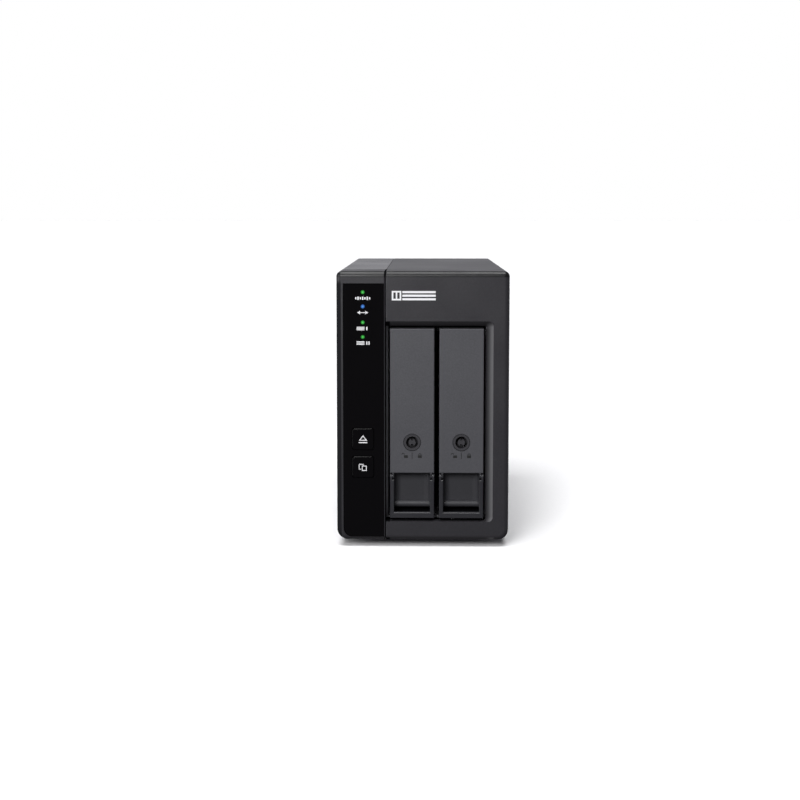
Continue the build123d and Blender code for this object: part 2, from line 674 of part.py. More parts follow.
def lock_cam(x):
    """The flat lever on the barrel's squared end."""
    ys = (lock_back() + 0.2, lock_back() + 0.2 + CAM_THICKNESS)
    cam = rod_y(LOCK_RADIUS - 0.4, x, ys, LOCK_Z)
    cam = cam + block((x - CAM_WIDTH / 2, x + CAM_WIDTH / 2), ys, (LOCK_Z, LOCK_Z + CAM_LENGTH))
    return cam - lock_square(x, (ys[0] - 1, ys[1] + 1))


def drive_limits(x):
    """The X and Z limits of the hard drive in a tray."""
    half = DRIVE_THICKNESS / 2
    middle = TRAY_BOTTOM + TRAY_HEIGHT / 2
    return (x - half, x + half), (middle - DRIVE_HEIGHT / 2, middle + DRIVE_HEIGHT / 2)


def tray_sled(x):
    """The sliding frame: a front wall, and a rail above and below the drive."""
    half = TRAY_WIDTH / 2
    xs = (x - half, x + half)
    drive_z = drive_limits(x)[1]
    wall_y = (FASCIA_BACK, FASCIA_BACK + SLED_FRONT)
    sled = block(xs, wall_y, (TRAY_BOTTOM, TRAY_TOP))
    rail_y = (FASCIA_BACK + 1, DRIVE_BACK - SLED_SHORT)
    for zs in ((TRAY_BOTTOM, drive_z[0] - DRIVE_CLEARANCE), (drive_z[1] + DRIVE_CLEARANCE, TRAY_TOP)):
        sled = sled + block(xs, rail_y, zs)
    for hole in DRIVE_HOLES:
        y = DRIVE_BACK - hole
        sled = sled - rod_z(SCREW + 0.2, x, y, (TRAY_BOTTOM - 1, TRAY_TOP + 1))
        for zs in ((TRAY_BOTTOM - 1, TRAY_BOTTOM + SCREW_SINK), (TRAY_TOP - SCREW_SINK, TRAY_TOP + 1)):
            sled = sled - rod_z(SCREW_HEAD + 0.3, x, y, zs)
    for z in SLED_VENT_ZS:
        sled = sled - pad(*SLED_VENT, 0, x, (wall_y[0] - 1, wall_y[1] + 1), z)
    return sled


def drive_socket_place(x):
    """The place of the plug notch in the back of a drive: X and Z limits."""
    xs, zs = drive_limits(x)
    return [xs[1] - across for across in PLUG_FROM_RIGHT], [zs[0] + up for up in PLUG_FROM_BOTTOM]


def drive_body(x):
    """The cast body of a hard drive: the disk chamber under the lid, screw holes and the plug notch."""
    xs, zs = drive_limits(x)
    core_x = (xs[0] + DRIVE_LID, xs[1] - DRIVE_BOARD)
    body = block(core_x, (DRIVE_FRONT, DRIVE_BACK), zs)
    for y in (DRIVE_FRONT, DRIVE_BACK):
        for z in zs:
            body = round_edge(body, Axis.X, (x, y, z), DRIVE_ROUND)
    for hole in DRIVE_HOLES:
        for end in ((zs[0] - 1, zs[0] + DRIVE_HOLE_DEPTH), (zs[1] - DRIVE_HOLE_DEPTH, zs[1] + 1)):
            body = body - rod_z(SCREW + SCREW_FIT, x, DRIVE_BACK - hole, end)
    chamber_x = (core_x[0] - 1, core_x[0] + CHAMBER_DEPTH)
    body = body - rod_x(CHAMBER_RADIUS, chamber_x, DRIVE_FRONT + DISK_AXIS, sum(zs) / 2)
    notch_x, notch_z = drive_socket_place(x)
    return body - block(notch_x, (DRIVE_BACK - PLUG_DEPTH, DRIVE_BACK + 1), notch_z)


def drive_lid(x):
    """The stamped lid, with a raised round over the platters."""
    xs, zs = drive_limits(x)
    before, behind = LID_MARGIN
    lid_x = (xs[0] + LID_STEP, xs[0] + DRIVE_LID)
    lid = block(lid_x, (DRIVE_FRONT + before, DRIVE_BACK - behind), (zs[0] + before, zs[1] - before))
    return lid + rod_x(LID_DISC, (xs[0], xs[0] + DRIVE_LID), DRIVE_FRONT + DISK_AXIS, sum(zs) / 2)


def drive_board(x):
    """The circuit board on the drive's other face, cut round the motor."""
    xs, zs = drive_limits(x)
    board_x = (xs[1] - DRIVE_BOARD, xs[1] - 0.2)
    board_y = (DRIVE_FRONT + DRIVE_BOARD_START, DRIVE_BACK - LID_MARGIN[0])
    board = block(board_x, board_y, (zs[0] + DRIVE_BOARD_EDGE, zs[1] - DRIVE_BOARD_EDGE))
    return board - rod_x(MOTOR_RADIUS, (xs[1] - 3, xs[1] + 1), DRIVE_FRONT + DISK_AXIS, sum(zs) / 2)


def drive_screws(x):
    """Two screws through each rail into the drive."""
    screws = []
    for hole in DRIVE_HOLES:
        y = DRIVE_BACK - hole
        for side, z in ((1, TRAY_BOTTOM + SCREW_SINK), (-1, TRAY_TOP - SCREW_SINK)):
            head = sorted((z, z - side * DRIVE_SCREW_HEAD))
            shank = sorted((z, z + side * DRIVE_SCREW_LENGTH))
            screws.append(rod_z(SCREW_HEAD, x, y, head) + rod_z(SCREW, x, y, shank))
    return screws


# ---- cage and boards ----
def cage_length():
    return FRONT + CAGE_START, BACKPLANE


def cage_lid():
    """The flat sheet that closes the cage."""
    return block((CAGE_X[0] - SHEET, CAGE_X[1] + SHEET), cage_length(), (CAGE_Z[1], CAGE_Z[1] + SHEET))


def drive_cage():
    """A folded sheet trough under and beside both trays, with air windows, on four legs."""
    ys = cage_length()
    outer = block((CAGE_X[0] - SHEET, CAGE_X[1] + SHEET), ys, (CAGE_Z[0] - SHEET, CAGE_Z[1]))
    cage = outer - block(CAGE_X, (ys[0] - 1, ys[1] + 1), (CAGE_Z[0], CAGE_Z[1] + 1))
    for along in WINDOW_YS:
        for z in WINDOW_ZS:
            window = block((CAGE_X[0] - 5, CAGE_X[1] + 5), (0, WINDOW_SIZE[0]), (0, WINDOW_SIZE[1]))
            cage = cage - Pos(0, DRIVE_FRONT + along, z) * window
    for x, y in cage_leg_places():
        half = CAGE_LEG / 2
        web = block((x - half, x - half + SHEET), (y - half, y + half), (WALL, CAGE_Z[0] - SHEET / 2))
        foot = block((x - half, x + half), (y - half, y + half), (WALL, WALL + SHEET))
        cage = cage + web + foot
        cage = cage - rod_z(SCREW + SCREW_FIT, x, y, (0, WALL + SHEET + 1))
    for y, z in standoff_places():
        cage = cage - rod_x(SCREW + SCREW_FIT, (CAGE_X[0] - SHEET - 1, CAGE_X[0] + 0.5), y, z)
    return cage


def guide_rails():
    """Plastic channels above and below each tray."""
    inner = TRAY_WIDTH / 2 + GUIDE_CLEARANCE
    outer = inner + GUIDE_FLANGE
    ys = (FASCIA_BACK + 2, DRIVE_BACK)
    rails = []
    for x in TRAY_XS:
        for base, tip in ((CAGE_Z[0], CAGE_Z[0] + GUIDE_HEIGHT), (CAGE_Z[1], CAGE_Z[1] - GUIDE_HEIGHT)):
            floor = base + GUIDE_BASE if tip > base else base - GUIDE_BASE
            rail = block((x - outer, x + outer), ys, sorted((base, tip)))
            beyond = tip + 1 if tip > base else tip - 1
            channel = block((x - inner, x + inner), (ys[0] - 1, ys[1] + 1), sorted((floor, beyond)))
            rails.append(rail - channel)
    return rails


def cage_screws():
    screws = []
    for x, y in cage_leg_places():
        top = WALL + SHEET
        screws.append(rod_z(SCREW_HEAD, x, y, (top, top + HEAD_HEIGHT)) + rod_z(SCREW, x, y, (1.2, top)))
    return screws


def backplane():
    """The upright board across the back of the cage, slotted so that air passes."""
    ys = (BACKPLANE, BACKPLANE + BOARD)
    board = block((BOARD_RIGHT + 1.0, CAGE_X[1] + SHEET), ys, (CAGE_Z[0] - SHEET, CAGE_Z[1] + SHEET))
    slot_z = (CAGE_Z[0] + BACKPLANE_EDGE, CAGE_Z[1] - BACKPLANE_EDGE)
    for x in TRAY_XS:
        slot_x = (x - BACKPLANE_SLOT[0], x + BACKPLANE_SLOT[1])
        board = board - block(slot_x, (ys[0] - 1, ys[1] + 1), slot_z)
    return board


def drive_sockets():
    """The plug on the backplane that each drive slides onto."""
    plugs = []
    for x in TRAY_XS:
        xs, zs = drive_socket_place(x)
        shell = block((xs[0] - 1, xs[1] + 1), (DRIVE_BACK + 0.8, BACKPLANE), (zs[0] - 2, zs[1] + 2))
        tongue_y = (DRIVE_BACK - PLUG_DEPTH + 1, DRIVE_BACK + 1)
        tongue = block((xs[0] + 0.5, xs[1] - 0.5), tongue_y, (zs[0] + 0.6, zs[1] - 0.6))
        plugs.append(shell + tongue)
    return plugs


def standoff_places():
    for back in STANDOFF_FROM:
        for z in STANDOFF_ZS:
            yield DRIVE_FRONT + back, z


def main_board():
    """The upright board beside the cage, which carries the rear sockets."""
    board = block((BOARD_LEFT, BOARD_RIGHT), (DRIVE_FRONT + BOARD_START, PANEL_FACE - 0.3), BOARD_ZS)
    for y, z in standoff_places():
        board = board - rod_x(SCREW + 0.15, (BOARD_LEFT - 1, BOARD_RIGHT + 1), y, z)
    return board


def board_standoffs():
    spacers = []
    for y, z in standoff_places():
        tube = rod_x(STANDOFF_RADIUS, (BOARD_RIGHT, CAGE_X[0] - SHEET), y, z)
        spacers.append(tube - rod_x(SCREW + SCREW_FIT, (BOARD_RIGHT - 1, CAGE_X[0]), y, z))
    return spacers


def board_screws():
    screws = []
    for y, z in standoff_places():
        head = rod_x(SCREW_HEAD, (BOARD_LEFT - HEAD_HEIGHT, BOARD_LEFT), y, z)
        screws.append(head + rod_x(SCREW, (BOARD_LEFT - 0.1, CAGE_X[0] - SHEET + 0.2), y, z))
    return screws


def board_connector():
    """The slotted connector on the main board that takes the backplane's edge."""
    middle = BACKPLANE + BOARD / 2
    half = CONNECTOR_WIDTH / 2
    low, high = CONNECTOR_ZS
    body = block((BOARD_RIGHT, CAGE_X[0] - SHEET), (middle - half, middle + half), CONNECTOR_ZS)
    slot_y = (BACKPLANE - 0.1, BACKPLANE + BOARD + 0.1)
    slot_z = (low - CONNECTOR_WALL, high + CONNECTOR_WALL)
    body = body - block((BOARD_RIGHT + CONNECTOR_WALL - 0.1, CAGE_X[0]), slot_y, slot_z)
    return body - block((CAGE_X[0] - SHEET - 1, CAGE_X[0] + 1), (middle - half - 1, BACKPLANE), slot_z)


def controller_chip():
    y = DRIVE_FRONT + CHIP_Y
    half = CHIP_SIZE / 2
    return block((BOARD_LEFT - CHIP_HEIGHT, BOARD_LEFT), (y - half, y + half), (CHIP_Z - half, CHIP_Z + half))


def heat_sink():
    """A finned block on the controller chip."""
    y = DRIVE_FRONT + CHIP_Y
    half = SINK_SIZE / 2
    zs = (CHIP_Z - half, CHIP_Z + half)
    base_x = (BOARD_LEFT - CHIP_HEIGHT - SINK_BASE, BOARD_LEFT - CHIP_HEIGHT)
    sink = block(base_x, (y - half, y + half), zs)
    step = (SINK_SIZE - FIN_THICKNESS) / (SINK_FINS - 1)
    for number in range(SINK_FINS):
        low = y - half + number * step
        sink = sink + block((base_x[0] - FIN_HEIGHT, base_x[0]), (low, low + FIN_THICKNESS), zs)
    return sink


# ---- rear panel and what it shows ----
def data_socket():
    """A flat round-ended socket, open to the rear, with a thin tongue inside."""
    wide, long, tall = SOCKET_SIZE
    middle = REAR_X - wide / 2
    ys = (PANEL_BACK - PANEL_FIT - long, PANEL_BACK - PANEL_FIT)
    corner = wide / 2 - 0.05
    shell = pad(wide, tall, corner, middle, ys, SOCKET_Z)
    inside = (wide - 2 * SOCKET_WALL, tall - 2 * SOCKET_WALL)
    shell = shell - pad(*inside, corner - SOCKET_WALL, middle, (ys[0] + 1, ys[1] + 1), SOCKET_Z)
    return shell + pad(0.7, tall - 2.6, 0, middle, (ys[0] + 0.5, ys[1] - 1.5), SOCKET_Z)


def dc_jack():
    """A round power jack with its centre pin."""
    wide, long, tall = JACK_SIZE
    middle = REAR_X - wide / 2
    front = PANEL_FACE - long
    body = pad(wide, tall, 0, middle, (front, PANEL_FACE - PANEL_FIT), JACK_Z)
    body = body + rod_y(JACK_RADIUS + JACK_COLLAR, middle, (PANEL_FACE - 1, PANEL_BACK), JACK_Z)
    body = body - rod_y(JACK_RADIUS, middle, (front + 3, PANEL_BACK + 1), JACK_Z)
    return body + rod_y(JACK_PIN, middle, (front + 2, PANEL_BACK - 1.5), JACK_Z)


def mode_line():
    return REAR_X - MODE_IN


def mode_switch():
    """The housing of the two small slide switches and the set switch."""
    x = mode_line()
    side, above, long = MODE_HOUSING
    zs = (MODE_Z[0] - above, MODE_Z[2] + above)
    housing = block((x - side, REAR_X), (PANEL_FACE - PANEL_FIT - long, PANEL_FACE - PANEL_FIT), zs)
    room_y = (PANEL_FACE - SWITCH_ROOM, PANEL_FACE)
    tall = 2 * SLIDER_SLOT + 2 * FLANGE_GAP
    for z in MODE_Z[:2]:
        housing = housing - pad(SLIDER_SLOT + 2 * FLANGE_GAP, tall, 0, x, room_y, z)
    return housing - rod_y(SET_BUTTON_RADIUS + SOCKET_ROOM, x, room_y, MODE_Z[2])


def mode_slider(z):
    """A small knob that rests at the lower end of its slot."""
    x = mode_line()
    low = z - SLIDER_TRAVEL / 2
    base = pad(SLIDER_SIZE + 0.4, SLIDER_SIZE + 0.6, 0, x, (PANEL_FACE - 3.6, PANEL_FACE - 0.8), low)
    return base + pad(SLIDER_SIZE, SLIDER_SIZE, 0, x, (PANEL_FACE - 1, PANEL_BACK + 0.6), low)


def set_button():
    """A small round button, pressed towards the front."""
    return rod_y(SET_BUTTON_RADIUS, mode_line(), (PANEL_FACE - 3.0, PANEL_BACK + 0.8), MODE_Z[2])


def power_middle():
    return REAR_X - ROCKER_SIZE[0] / 2 - SWITCH_INSET


def power_block(margin, ys):
    """A block about the middle of the power switch, larger than its rocker hole by a margin all round."""
    return pad(ROCKER_SIZE[0] + 2 * margin, ROCKER_SIZE[1] + 2 * margin, 0, power_middle(), ys, POWER_Z)


def power_switch():
    """The housing of the rocker switch, with a thin flange outside the panel."""
    housing = power_block(0, (PANEL_FACE - SWITCH_DEPTH, PANEL_BACK + 0.4))
    flange = power_block(SWITCH_FLANGE, (PANEL_BACK, PANEL_BACK + SWITCH_FLANGE))
    return housing + flange - power_block(-ROCKER_WALL, (PANEL_FACE - 8, PANEL_BACK + 2))


def rocker_pivot():
    return PANEL_BACK - ROCKER_PIVOT


def power_rocker():
    """The rocker: a shallow V that tips about a pin across its middle, drawn at its lower stop."""
    x = power_middle()
    half_x = ROCKER_SIZE[0] / 2 - 1.5
    half_z = ROCKER_SIZE[1] / 2 - 2.1
    pivot = rocker_pivot()
    wedge = block((x - half_x, x + half_x), (pivot - 1.2, pivot + 3.6), (POWER_Z - half_z, POWER_Z + half_z))
    for side in (1, -1):
        slope = Pos(x, pivot + 3.3, POWER_Z) * Rot(-side * ROCKER_SLOPE, 0, 0)
        cut = slope * Pos(0, 5, side * 10) * Box(30, 10, 20)
        wedge = wedge - cut
    wedge = wedge + rod_x(ROCKER_PIN, (x - half_x, x + half_x), pivot, POWER_Z)
    return wedge.rotate(Axis((0, pivot, POWER_Z), (1, 0, 0)), -ROCKER_TILT)


def rear_screw_places():
    for x in (LEFT + WALL + BOSS / 2, RIGHT - WALL - BOSS / 2):
        for z in (WALL + BOSS / 2, BODY_HEIGHT - WALL - BOSS / 2):
            yield x, z


def fan_hole_places():
    half = FAN_HOLES / 2
    for x in (FAN_X - half, FAN_X + half):
        for z in (FAN_HEIGHT - half, FAN_HEIGHT + half):
            yield x, z


def grille(plate):
    """Ring slots over the fan, joined by four spokes and a middle disc."""
    ys = (PANEL_FACE - 1, PANEL_BACK + 1)
    rings = None
    for number in range(GRILLE_RINGS):
        outer = FAN_BORE - GRILLE_RIB - number * (GRILLE_SLOT + GRILLE_RIB)
        ring = rod_y(outer, FAN_X, ys, FAN_HEIGHT) - rod_y(outer - GRILLE_SLOT, FAN_X, ys, FAN_HEIGHT)
        rings = ring if rings is None else rings + ring
    for angle in (0, 90):
        spoke = Box(FAN_SIZE, 8, 2 * GRILLE_RIB)
        rings = rings - Pos(FAN_X, PANEL_FACE + 1, FAN_HEIGHT) * Rot(0, GRILLE_SPOKE_TURN + angle, 0) * spoke
    return plate - rings


def rear_panel():
    """The plate that closes the back, with the grille, sockets and a slot for a security lock."""
    xs = (LEFT + WALL + PANEL_FIT, RIGHT - WALL - PANEL_FIT)
    zs = (WALL + PANEL_FIT, BODY_HEIGHT - WALL - PANEL_FIT)
    bottom = BOTTOM_RADIUS - WALL
    top = TOP_RADIUS - WALL
    plate = prism(xs, (PANEL_FACE, PANEL_BACK), zs, (bottom, bottom, top, top))
    plate = grille(plate)
    through = (PANEL_FACE - 1, PANEL_BACK + 1)
    for x, z in rear_screw_places():
        plate = plate - rod_y(SCREW + 0.2, x, through, z)
    for x, z in fan_hole_places():
        plate = plate - rod_y(SCREW + 0.2, x, through, z)
    wide, tall = (SOCKET_SIZE[0] + 2 * SOCKET_ROOM, SOCKET_SIZE[2] + 2 * SOCKET_ROOM)
    plate = plate - pad(wide, tall, wide / 2 - 0.1, REAR_X - SOCKET_SIZE[0] / 2, through, SOCKET_Z)
    plate = plate - rod_y(JACK_RADIUS + JACK_COLLAR + 0.1, REAR_X - JACK_SIZE[0] / 2, through, JACK_Z)
    for z in MODE_Z[:2]:
        plate = plate - pad(SLIDER_SLOT, 2 * SLIDER_SLOT, 0, mode_line(), through, z)
    plate = plate - rod_y(SET_BUTTON_RADIUS + 0.15, mode_line(), through, MODE_Z[2])
    plate = plate - power_block(0.1, through)
    across, up = LOCK_SLOT_PLACE
    return plate - pad(*LOCK_SLOT, 0.6, RIGHT - across, through, up)


def rear_screws():
    """Eight alike: one in each corner of the panel, and one in each corner of the fan."""
    places = list(rear_screw_places()) + list(fan_hole_places())
    return [screw_y(x, z, PANEL_BACK + HEAD_HEIGHT, REAR_SCREW_LENGTH) for x, z in places]


def fan_frame():
    """A square fan frame: a round duct, four struts and the middle boss with its bearing."""
    ys = (FAN_FRONT, PANEL_FACE)
    frame = pad(FAN_SIZE, FAN_SIZE, FAN_CORNER, FAN_X, ys, FAN_HEIGHT)
    frame = frame - rod_y(FAN_BORE, FAN_X, (ys[0] - 1, ys[1] + 1), FAN_HEIGHT)
    waist = pad(FAN_SIZE + 2, FAN_SIZE + 2, 0, FAN_X, (ys[0] + FAN_PLATE, ys[1] - FAN_PLATE), FAN_HEIGHT)
    waist = waist - rod_y(FAN_BORE + FAN_DUCT, FAN_X, ys, FAN_HEIGHT)
    frame = frame - waist
    for angle in FAN_STRUT_ANGLES:
        reach = FAN_BORE - FAN_HUB + 4
        strut = Pos((FAN_BORE + FAN_HUB) / 2, 0, 0) * Box(reach, FAN_STRUT, FAN_STRUT)
        strut = Pos(FAN_X, ys[1] - FAN_STRUT / 2, FAN_HEIGHT) * Rot(0, angle, 0) * strut
        frame = frame + strut
    boss = rod_y(FAN_HUB - 1.5, FAN_X, (ys[1] - FAN_STRUT, ys[1]), FAN_HEIGHT)
    boss = boss + rod_y(FAN_BEARING, FAN_X, (ys[0] + 7, ys[1] - 2), FAN_HEIGHT)
    frame = frame + boss
    frame = frame - rod_y(SHAFT_RADIUS + SHAFT_CLEARANCE, FAN_X, (ys[0] + 6, ys[1] - 1), FAN_HEIGHT)
    for x, z in fan_hole_places():
        frame = frame - rod_y(SCREW + SCREW_FIT, x, (ys[0] - 1, ys[1] + 1), z)
    return frame


def fan_rotor():
    """A cup-shaped hub with its shaft and pitched blades."""
    ys = (FAN_FRONT + 1.5, PANEL_FACE - 4)
    hub = rod_y(FAN_HUB, FAN_X, ys, FAN_HEIGHT)
    hub = fillet(hub.faces().sort_by(Axis.Y)[0].edges(), 1.5)
    hub = hub - rod_y(FAN_HUB - HUB_WALL, FAN_X, (ys[0] + 2, ys[1] + 1), FAN_HEIGHT)
    rotor = hub + rod_y(SHAFT_RADIUS, FAN_X, (ys[0] + 1, ys[1] - 2), FAN_HEIGHT)
    tip = FAN_BORE - FAN_TIP_GAP
    reach = rod_y(tip, FAN_X, (ys[0] + 0.5, ys[1]), FAN_HEIGHT)
    reach = reach - rod_y(FAN_HUB - HUB_WALL / 2, FAN_X, (ys[0] - 1, ys[1] + 1), FAN_HEIGHT)
    for number in range(FAN_BLADES):
        turn = number * 360 / FAN_BLADES
        slab = Pos((FAN_HUB + tip) / 2, 0, 0) * Rot(BLADE_PITCH, 0, 0)
        slab = slab * Box(tip - FAN_HUB + 3, BLADE_THICKNESS, BLADE_CHORD)
        blade = Pos(FAN_X, sum(ys) / 2, FAN_HEIGHT) * Rot(0, turn, 0) * slab
        rotor = rotor + (blade & reach)
    return rotor


# ---- feet ----
def rubber_feet():
    feet = []
    for x, y in foot_places():
        foot = rod_z(FOOT_RADIUS, x, y, (-FOOT_HEIGHT, 0))
        foot = chamfer(foot.faces().sort_by(Axis.Z)[0].edges(), FOOT_EDGE)
        foot = foot - rod_z(SCREW_HEAD + 0.4, x, y, (-FOOT_HEIGHT - 1, -FOOT_WEB))
        feet.append(foot - rod_z(SCREW + SCREW_FIT, x, y, (-FOOT_HEIGHT - 1, 1)))
    return feet


def foot_screws():
    screws = []
    for x, y in foot_places():
        head = rod_z(SCREW_HEAD, x, y, (-2 * FOOT_WEB, -FOOT_WEB))
        screws.append(head + rod_z(SCREW, x, y, (-FOOT_WEB - 0.1, WALL + 3)))
    return screws


def main():
    os.makedirs("parts", exist_ok=True)
    save("left_cover", left_cover())
    save("right_cover", right_cover())
    save("front_bezel", front_bezel())
    save("panel_bezel", panel_bezel())
    save("panel_lens", panel_lens())
    lights = ("status_light", "link_light", "drive_1_light", "drive_2_light")
    for name, z in zip(lights, light_places()):
        save(name, light_pipe(z))
    for name, z in zip(("eject_button", "copy_button"), BUTTON_HEIGHTS):
        save(name, push_button(z))
    save("control_board", control_board())
    save("panel_switches", panel_switches())
    save("panel_diodes", panel_diodes())
    tray_pieces = (tray_fascia, tray_handle, handle_pins, lock_barrel, lock_cam, tray_sled,
                   drive_body, drive_lid, drive_board, drive_screws)
    for number, x in enumerate(TRAY_XS, start=1):
        for piece in tray_pieces:
            save(f"{piece.__name__}_{number}", piece(x))
    root_pieces = (drive_cage, cage_lid, guide_rails, cage_screws, backplane, drive_sockets, main_board,
                   board_standoffs, board_screws, board_connector, controller_chip, heat_sink,
                   data_socket, dc_jack, mode_switch, set_button, power_switch, power_rocker,
                   rear_panel, rear_screws, fan_frame, fan_rotor, rubber_feet, foot_screws)
    for piece in root_pieces:
        save(piece.__name__, piece())
    for number, z in enumerate(MODE_Z[:2], start=1):
        save(f"mode_slider_{number}", mode_slider(z))


main()
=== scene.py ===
# %% [markdown]
# A two-bay drive box, dressed for a studio picture. Its shapes, sizes and moving parts already exist as a
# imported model, so this lesson loads that model as a fixed frame and gives it what a machine shop can't:
# paint, moulded plastic, printed marks, lit lamps, labels and light. Everything is in metres.

# %% Load the frame
import math

import bmesh
import bpy
from mathutils import Matrix, Vector


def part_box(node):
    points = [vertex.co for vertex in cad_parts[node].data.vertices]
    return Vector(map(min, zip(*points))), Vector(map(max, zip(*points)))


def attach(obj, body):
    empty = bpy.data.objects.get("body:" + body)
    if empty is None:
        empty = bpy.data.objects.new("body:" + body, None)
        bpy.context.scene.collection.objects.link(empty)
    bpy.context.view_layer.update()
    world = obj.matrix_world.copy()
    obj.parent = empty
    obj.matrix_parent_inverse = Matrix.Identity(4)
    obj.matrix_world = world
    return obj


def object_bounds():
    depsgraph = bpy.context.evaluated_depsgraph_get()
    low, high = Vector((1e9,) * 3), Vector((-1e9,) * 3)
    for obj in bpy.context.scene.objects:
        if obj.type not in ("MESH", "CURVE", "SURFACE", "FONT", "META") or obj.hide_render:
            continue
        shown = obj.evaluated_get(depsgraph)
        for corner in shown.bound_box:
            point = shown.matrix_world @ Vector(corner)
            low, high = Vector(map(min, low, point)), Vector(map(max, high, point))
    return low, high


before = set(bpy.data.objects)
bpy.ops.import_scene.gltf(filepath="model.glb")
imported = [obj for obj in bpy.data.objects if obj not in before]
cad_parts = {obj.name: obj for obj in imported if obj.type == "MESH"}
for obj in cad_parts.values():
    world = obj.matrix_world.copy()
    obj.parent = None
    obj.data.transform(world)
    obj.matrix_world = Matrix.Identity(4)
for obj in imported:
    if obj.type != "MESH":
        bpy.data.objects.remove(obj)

CAD_LOW, CAD_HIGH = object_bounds()
MM = 0.001
print("box low", tuple(round(v, 4) for v in CAD_LOW), "high", tuple(round(v, 4) for v in CAD_HIGH))

# %% [markdown]
# The camera comes first, because every finish is judged through it. A product picture of a box is taken
# with a long lens, a little above the top edge, so that the top shows as a thin strip. A lens that is
# shifted down keeps the upright edges almost parallel, as a studio camera does.

# %% Camera
CAMERA_LENS = 57.64
CAMERA_SHIFT = -0.10
CAMERA_FROM_FRONT = 0.7498
CAMERA_ASIDE = 0.0006
CAMERA_HEIGHT = 0.1976
CAMERA_TILT = math.radians(4.72)
CAMERA_TURN = math.radians(1.074)

camera_data = bpy.data.cameras.new("studio_camera")
camera_data.lens = CAMERA_LENS
camera_data.shift_y = CAMERA_SHIFT
camera = bpy.data.objects.new("studio_camera", camera_data)
bpy.context.collection.objects.link(camera)
camera.location = (CAMERA_ASIDE, CAD_LOW.y - CAMERA_FROM_FRONT, CAMERA_HEIGHT)
camera.rotation_euler = (math.pi / 2 - CAMERA_TILT, 0.0, CAMERA_TURN)
bpy.context.scene.camera = camera
bpy.context.scene.view_settings.view_transform = "Standard"
print("camera", tuple(round(v, 3) for v in camera.location), "lens", camera_data.lens, "mm")

# %% [markdown]
# A black box shows little but what it reflects, so the room decides how it looks. Behind the box the room
# is pale at eye level, which lays a soft sheen on the top. Higher up and in front it is dim, so that the
# front stays black. The camera itself sees plain white.

# %% Room
ROOM_DIM, ROOM_SHEEN = 0.13, 0.42


def ramp_between(tree, source, start, end, low=0.0, high=1.0):
    """A smooth step from low to high while the source goes from start to end."""
    step = tree.nodes.new("ShaderNodeMapRange")
    step.interpolation_type = "SMOOTHSTEP"
    step.inputs["From Min"].default_value = start
    step.inputs["From Max"].default_value = end
    step.inputs["To Min"].default_value = low
    step.inputs["To Max"].default_value = high
    tree.links.new(source, step.inputs["Value"])
    return step.outputs["Result"]


def combine(tree, operation, *sources):
    """One arithmetic step on two sources, each a socket or a number."""
    sum_node = tree.nodes.new("ShaderNodeMath")
    sum_node.operation = operation
    for place, source in zip(sum_node.inputs, sources):
        if isinstance(source, float):
            place.default_value = source
        else:
            tree.links.new(source, place)
    return sum_node.outputs["Value"]


def studio_room():
    world = bpy.data.worlds.new("studio_room")
    bpy.context.scene.world = world
    world.use_nodes = True
    tree = world.node_tree
    tree.nodes.clear()
    coords = tree.nodes.new("ShaderNodeTexCoord")
    parts = tree.nodes.new("ShaderNodeSeparateXYZ")
    tree.links.new(coords.outputs["Generated"], parts.inputs["Vector"])
    behind = ramp_between(tree, parts.outputs["Y"], 0.1, 0.8)
    height = combine(tree, "ABSOLUTE", parts.outputs["Z"])
    eye_level = ramp_between(tree, height, 0.12, 0.5, 1.0, 0.0)
    sheen = combine(tree, "MULTIPLY", behind, eye_level)
    strength = combine(tree, "MULTIPLY_ADD", sheen, ROOM_SHEEN, ROOM_DIM)
    room = tree.nodes.new("ShaderNodeBackground")
    room.inputs["Color"].default_value = (0.95, 0.95, 1.0, 1.0)
    plain = tree.nodes.new("ShaderNodeBackground")
    plain.inputs["Color"].default_value = (1.0, 1.0, 1.0, 1.0)
    path = tree.nodes.new("ShaderNodeLightPath")
    mix = tree.nodes.new("ShaderNodeMixShader")
    out = tree.nodes.new("ShaderNodeOutputWorld")
    tree.links.new(strength, room.inputs["Strength"])
    tree.links.new(path.outputs["Is Camera Ray"], mix.inputs["Fac"])
    tree.links.new(room.outputs["Background"], mix.inputs[1])
    tree.links.new(plain.outputs["Background"], mix.inputs[2])
    tree.links.new(mix.outputs["Shader"], out.inputs["Surface"])


studio_room()
print("room from", ROOM_DIM, "to", ROOM_DIM + ROOM_SHEEN)

# %% [markdown]
# Three lamps do the rest. A wide overhead light whitens the floor and draws one bright line along the
# rounded front edge. A soft box stands before the front, a little higher than the box, so that light also
# reaches the finger hollows. A tall soft box far to the left lights the sloping side of the pocket and the
# left edges of every raised part, which is what makes black plastic read as a shape.

# %% Lamps
BOX_MIDDLE = (CAD_LOW + CAD_HIGH) / 2
FRONT_MIDDLE = Vector((0.0, CAD_LOW.y, CAD_HIGH.z * 0.6))


def hang_lamp(name, lamp, place, aim):
    holder = bpy.data.objects.new(name, lamp)
    bpy.context.collection.objects.link(holder)
    holder.location = place
    holder.rotation_euler = (aim - Vector(place)).to_track_quat("-Z", "Y").to_euler()


def soft_box(name, place, wide, tall, watts):
    lamp = bpy.data.lights.new(name, "AREA")
    lamp.shape = "RECTANGLE"
    lamp.size, lamp.size_y = wide, tall
    lamp.energy = watts
    hang_lamp(name, lamp, place, FRONT_MIDDLE)


overhead = bpy.data.lights.new("overhead_light", "SUN")
overhead.energy = 3.2
overhead.angle = math.radians(46)
hang_lamp("overhead_light", overhead, (-0.1, -0.3, 2.0), BOX_MIDDLE)
soft_box("front_soft_box", (-0.22, -0.80, 0.40), 0.30, 0.30, 4.2)
soft_box("left_soft_box", (-0.95, -0.42, 0.22), 0.35, 0.80, 3.4)

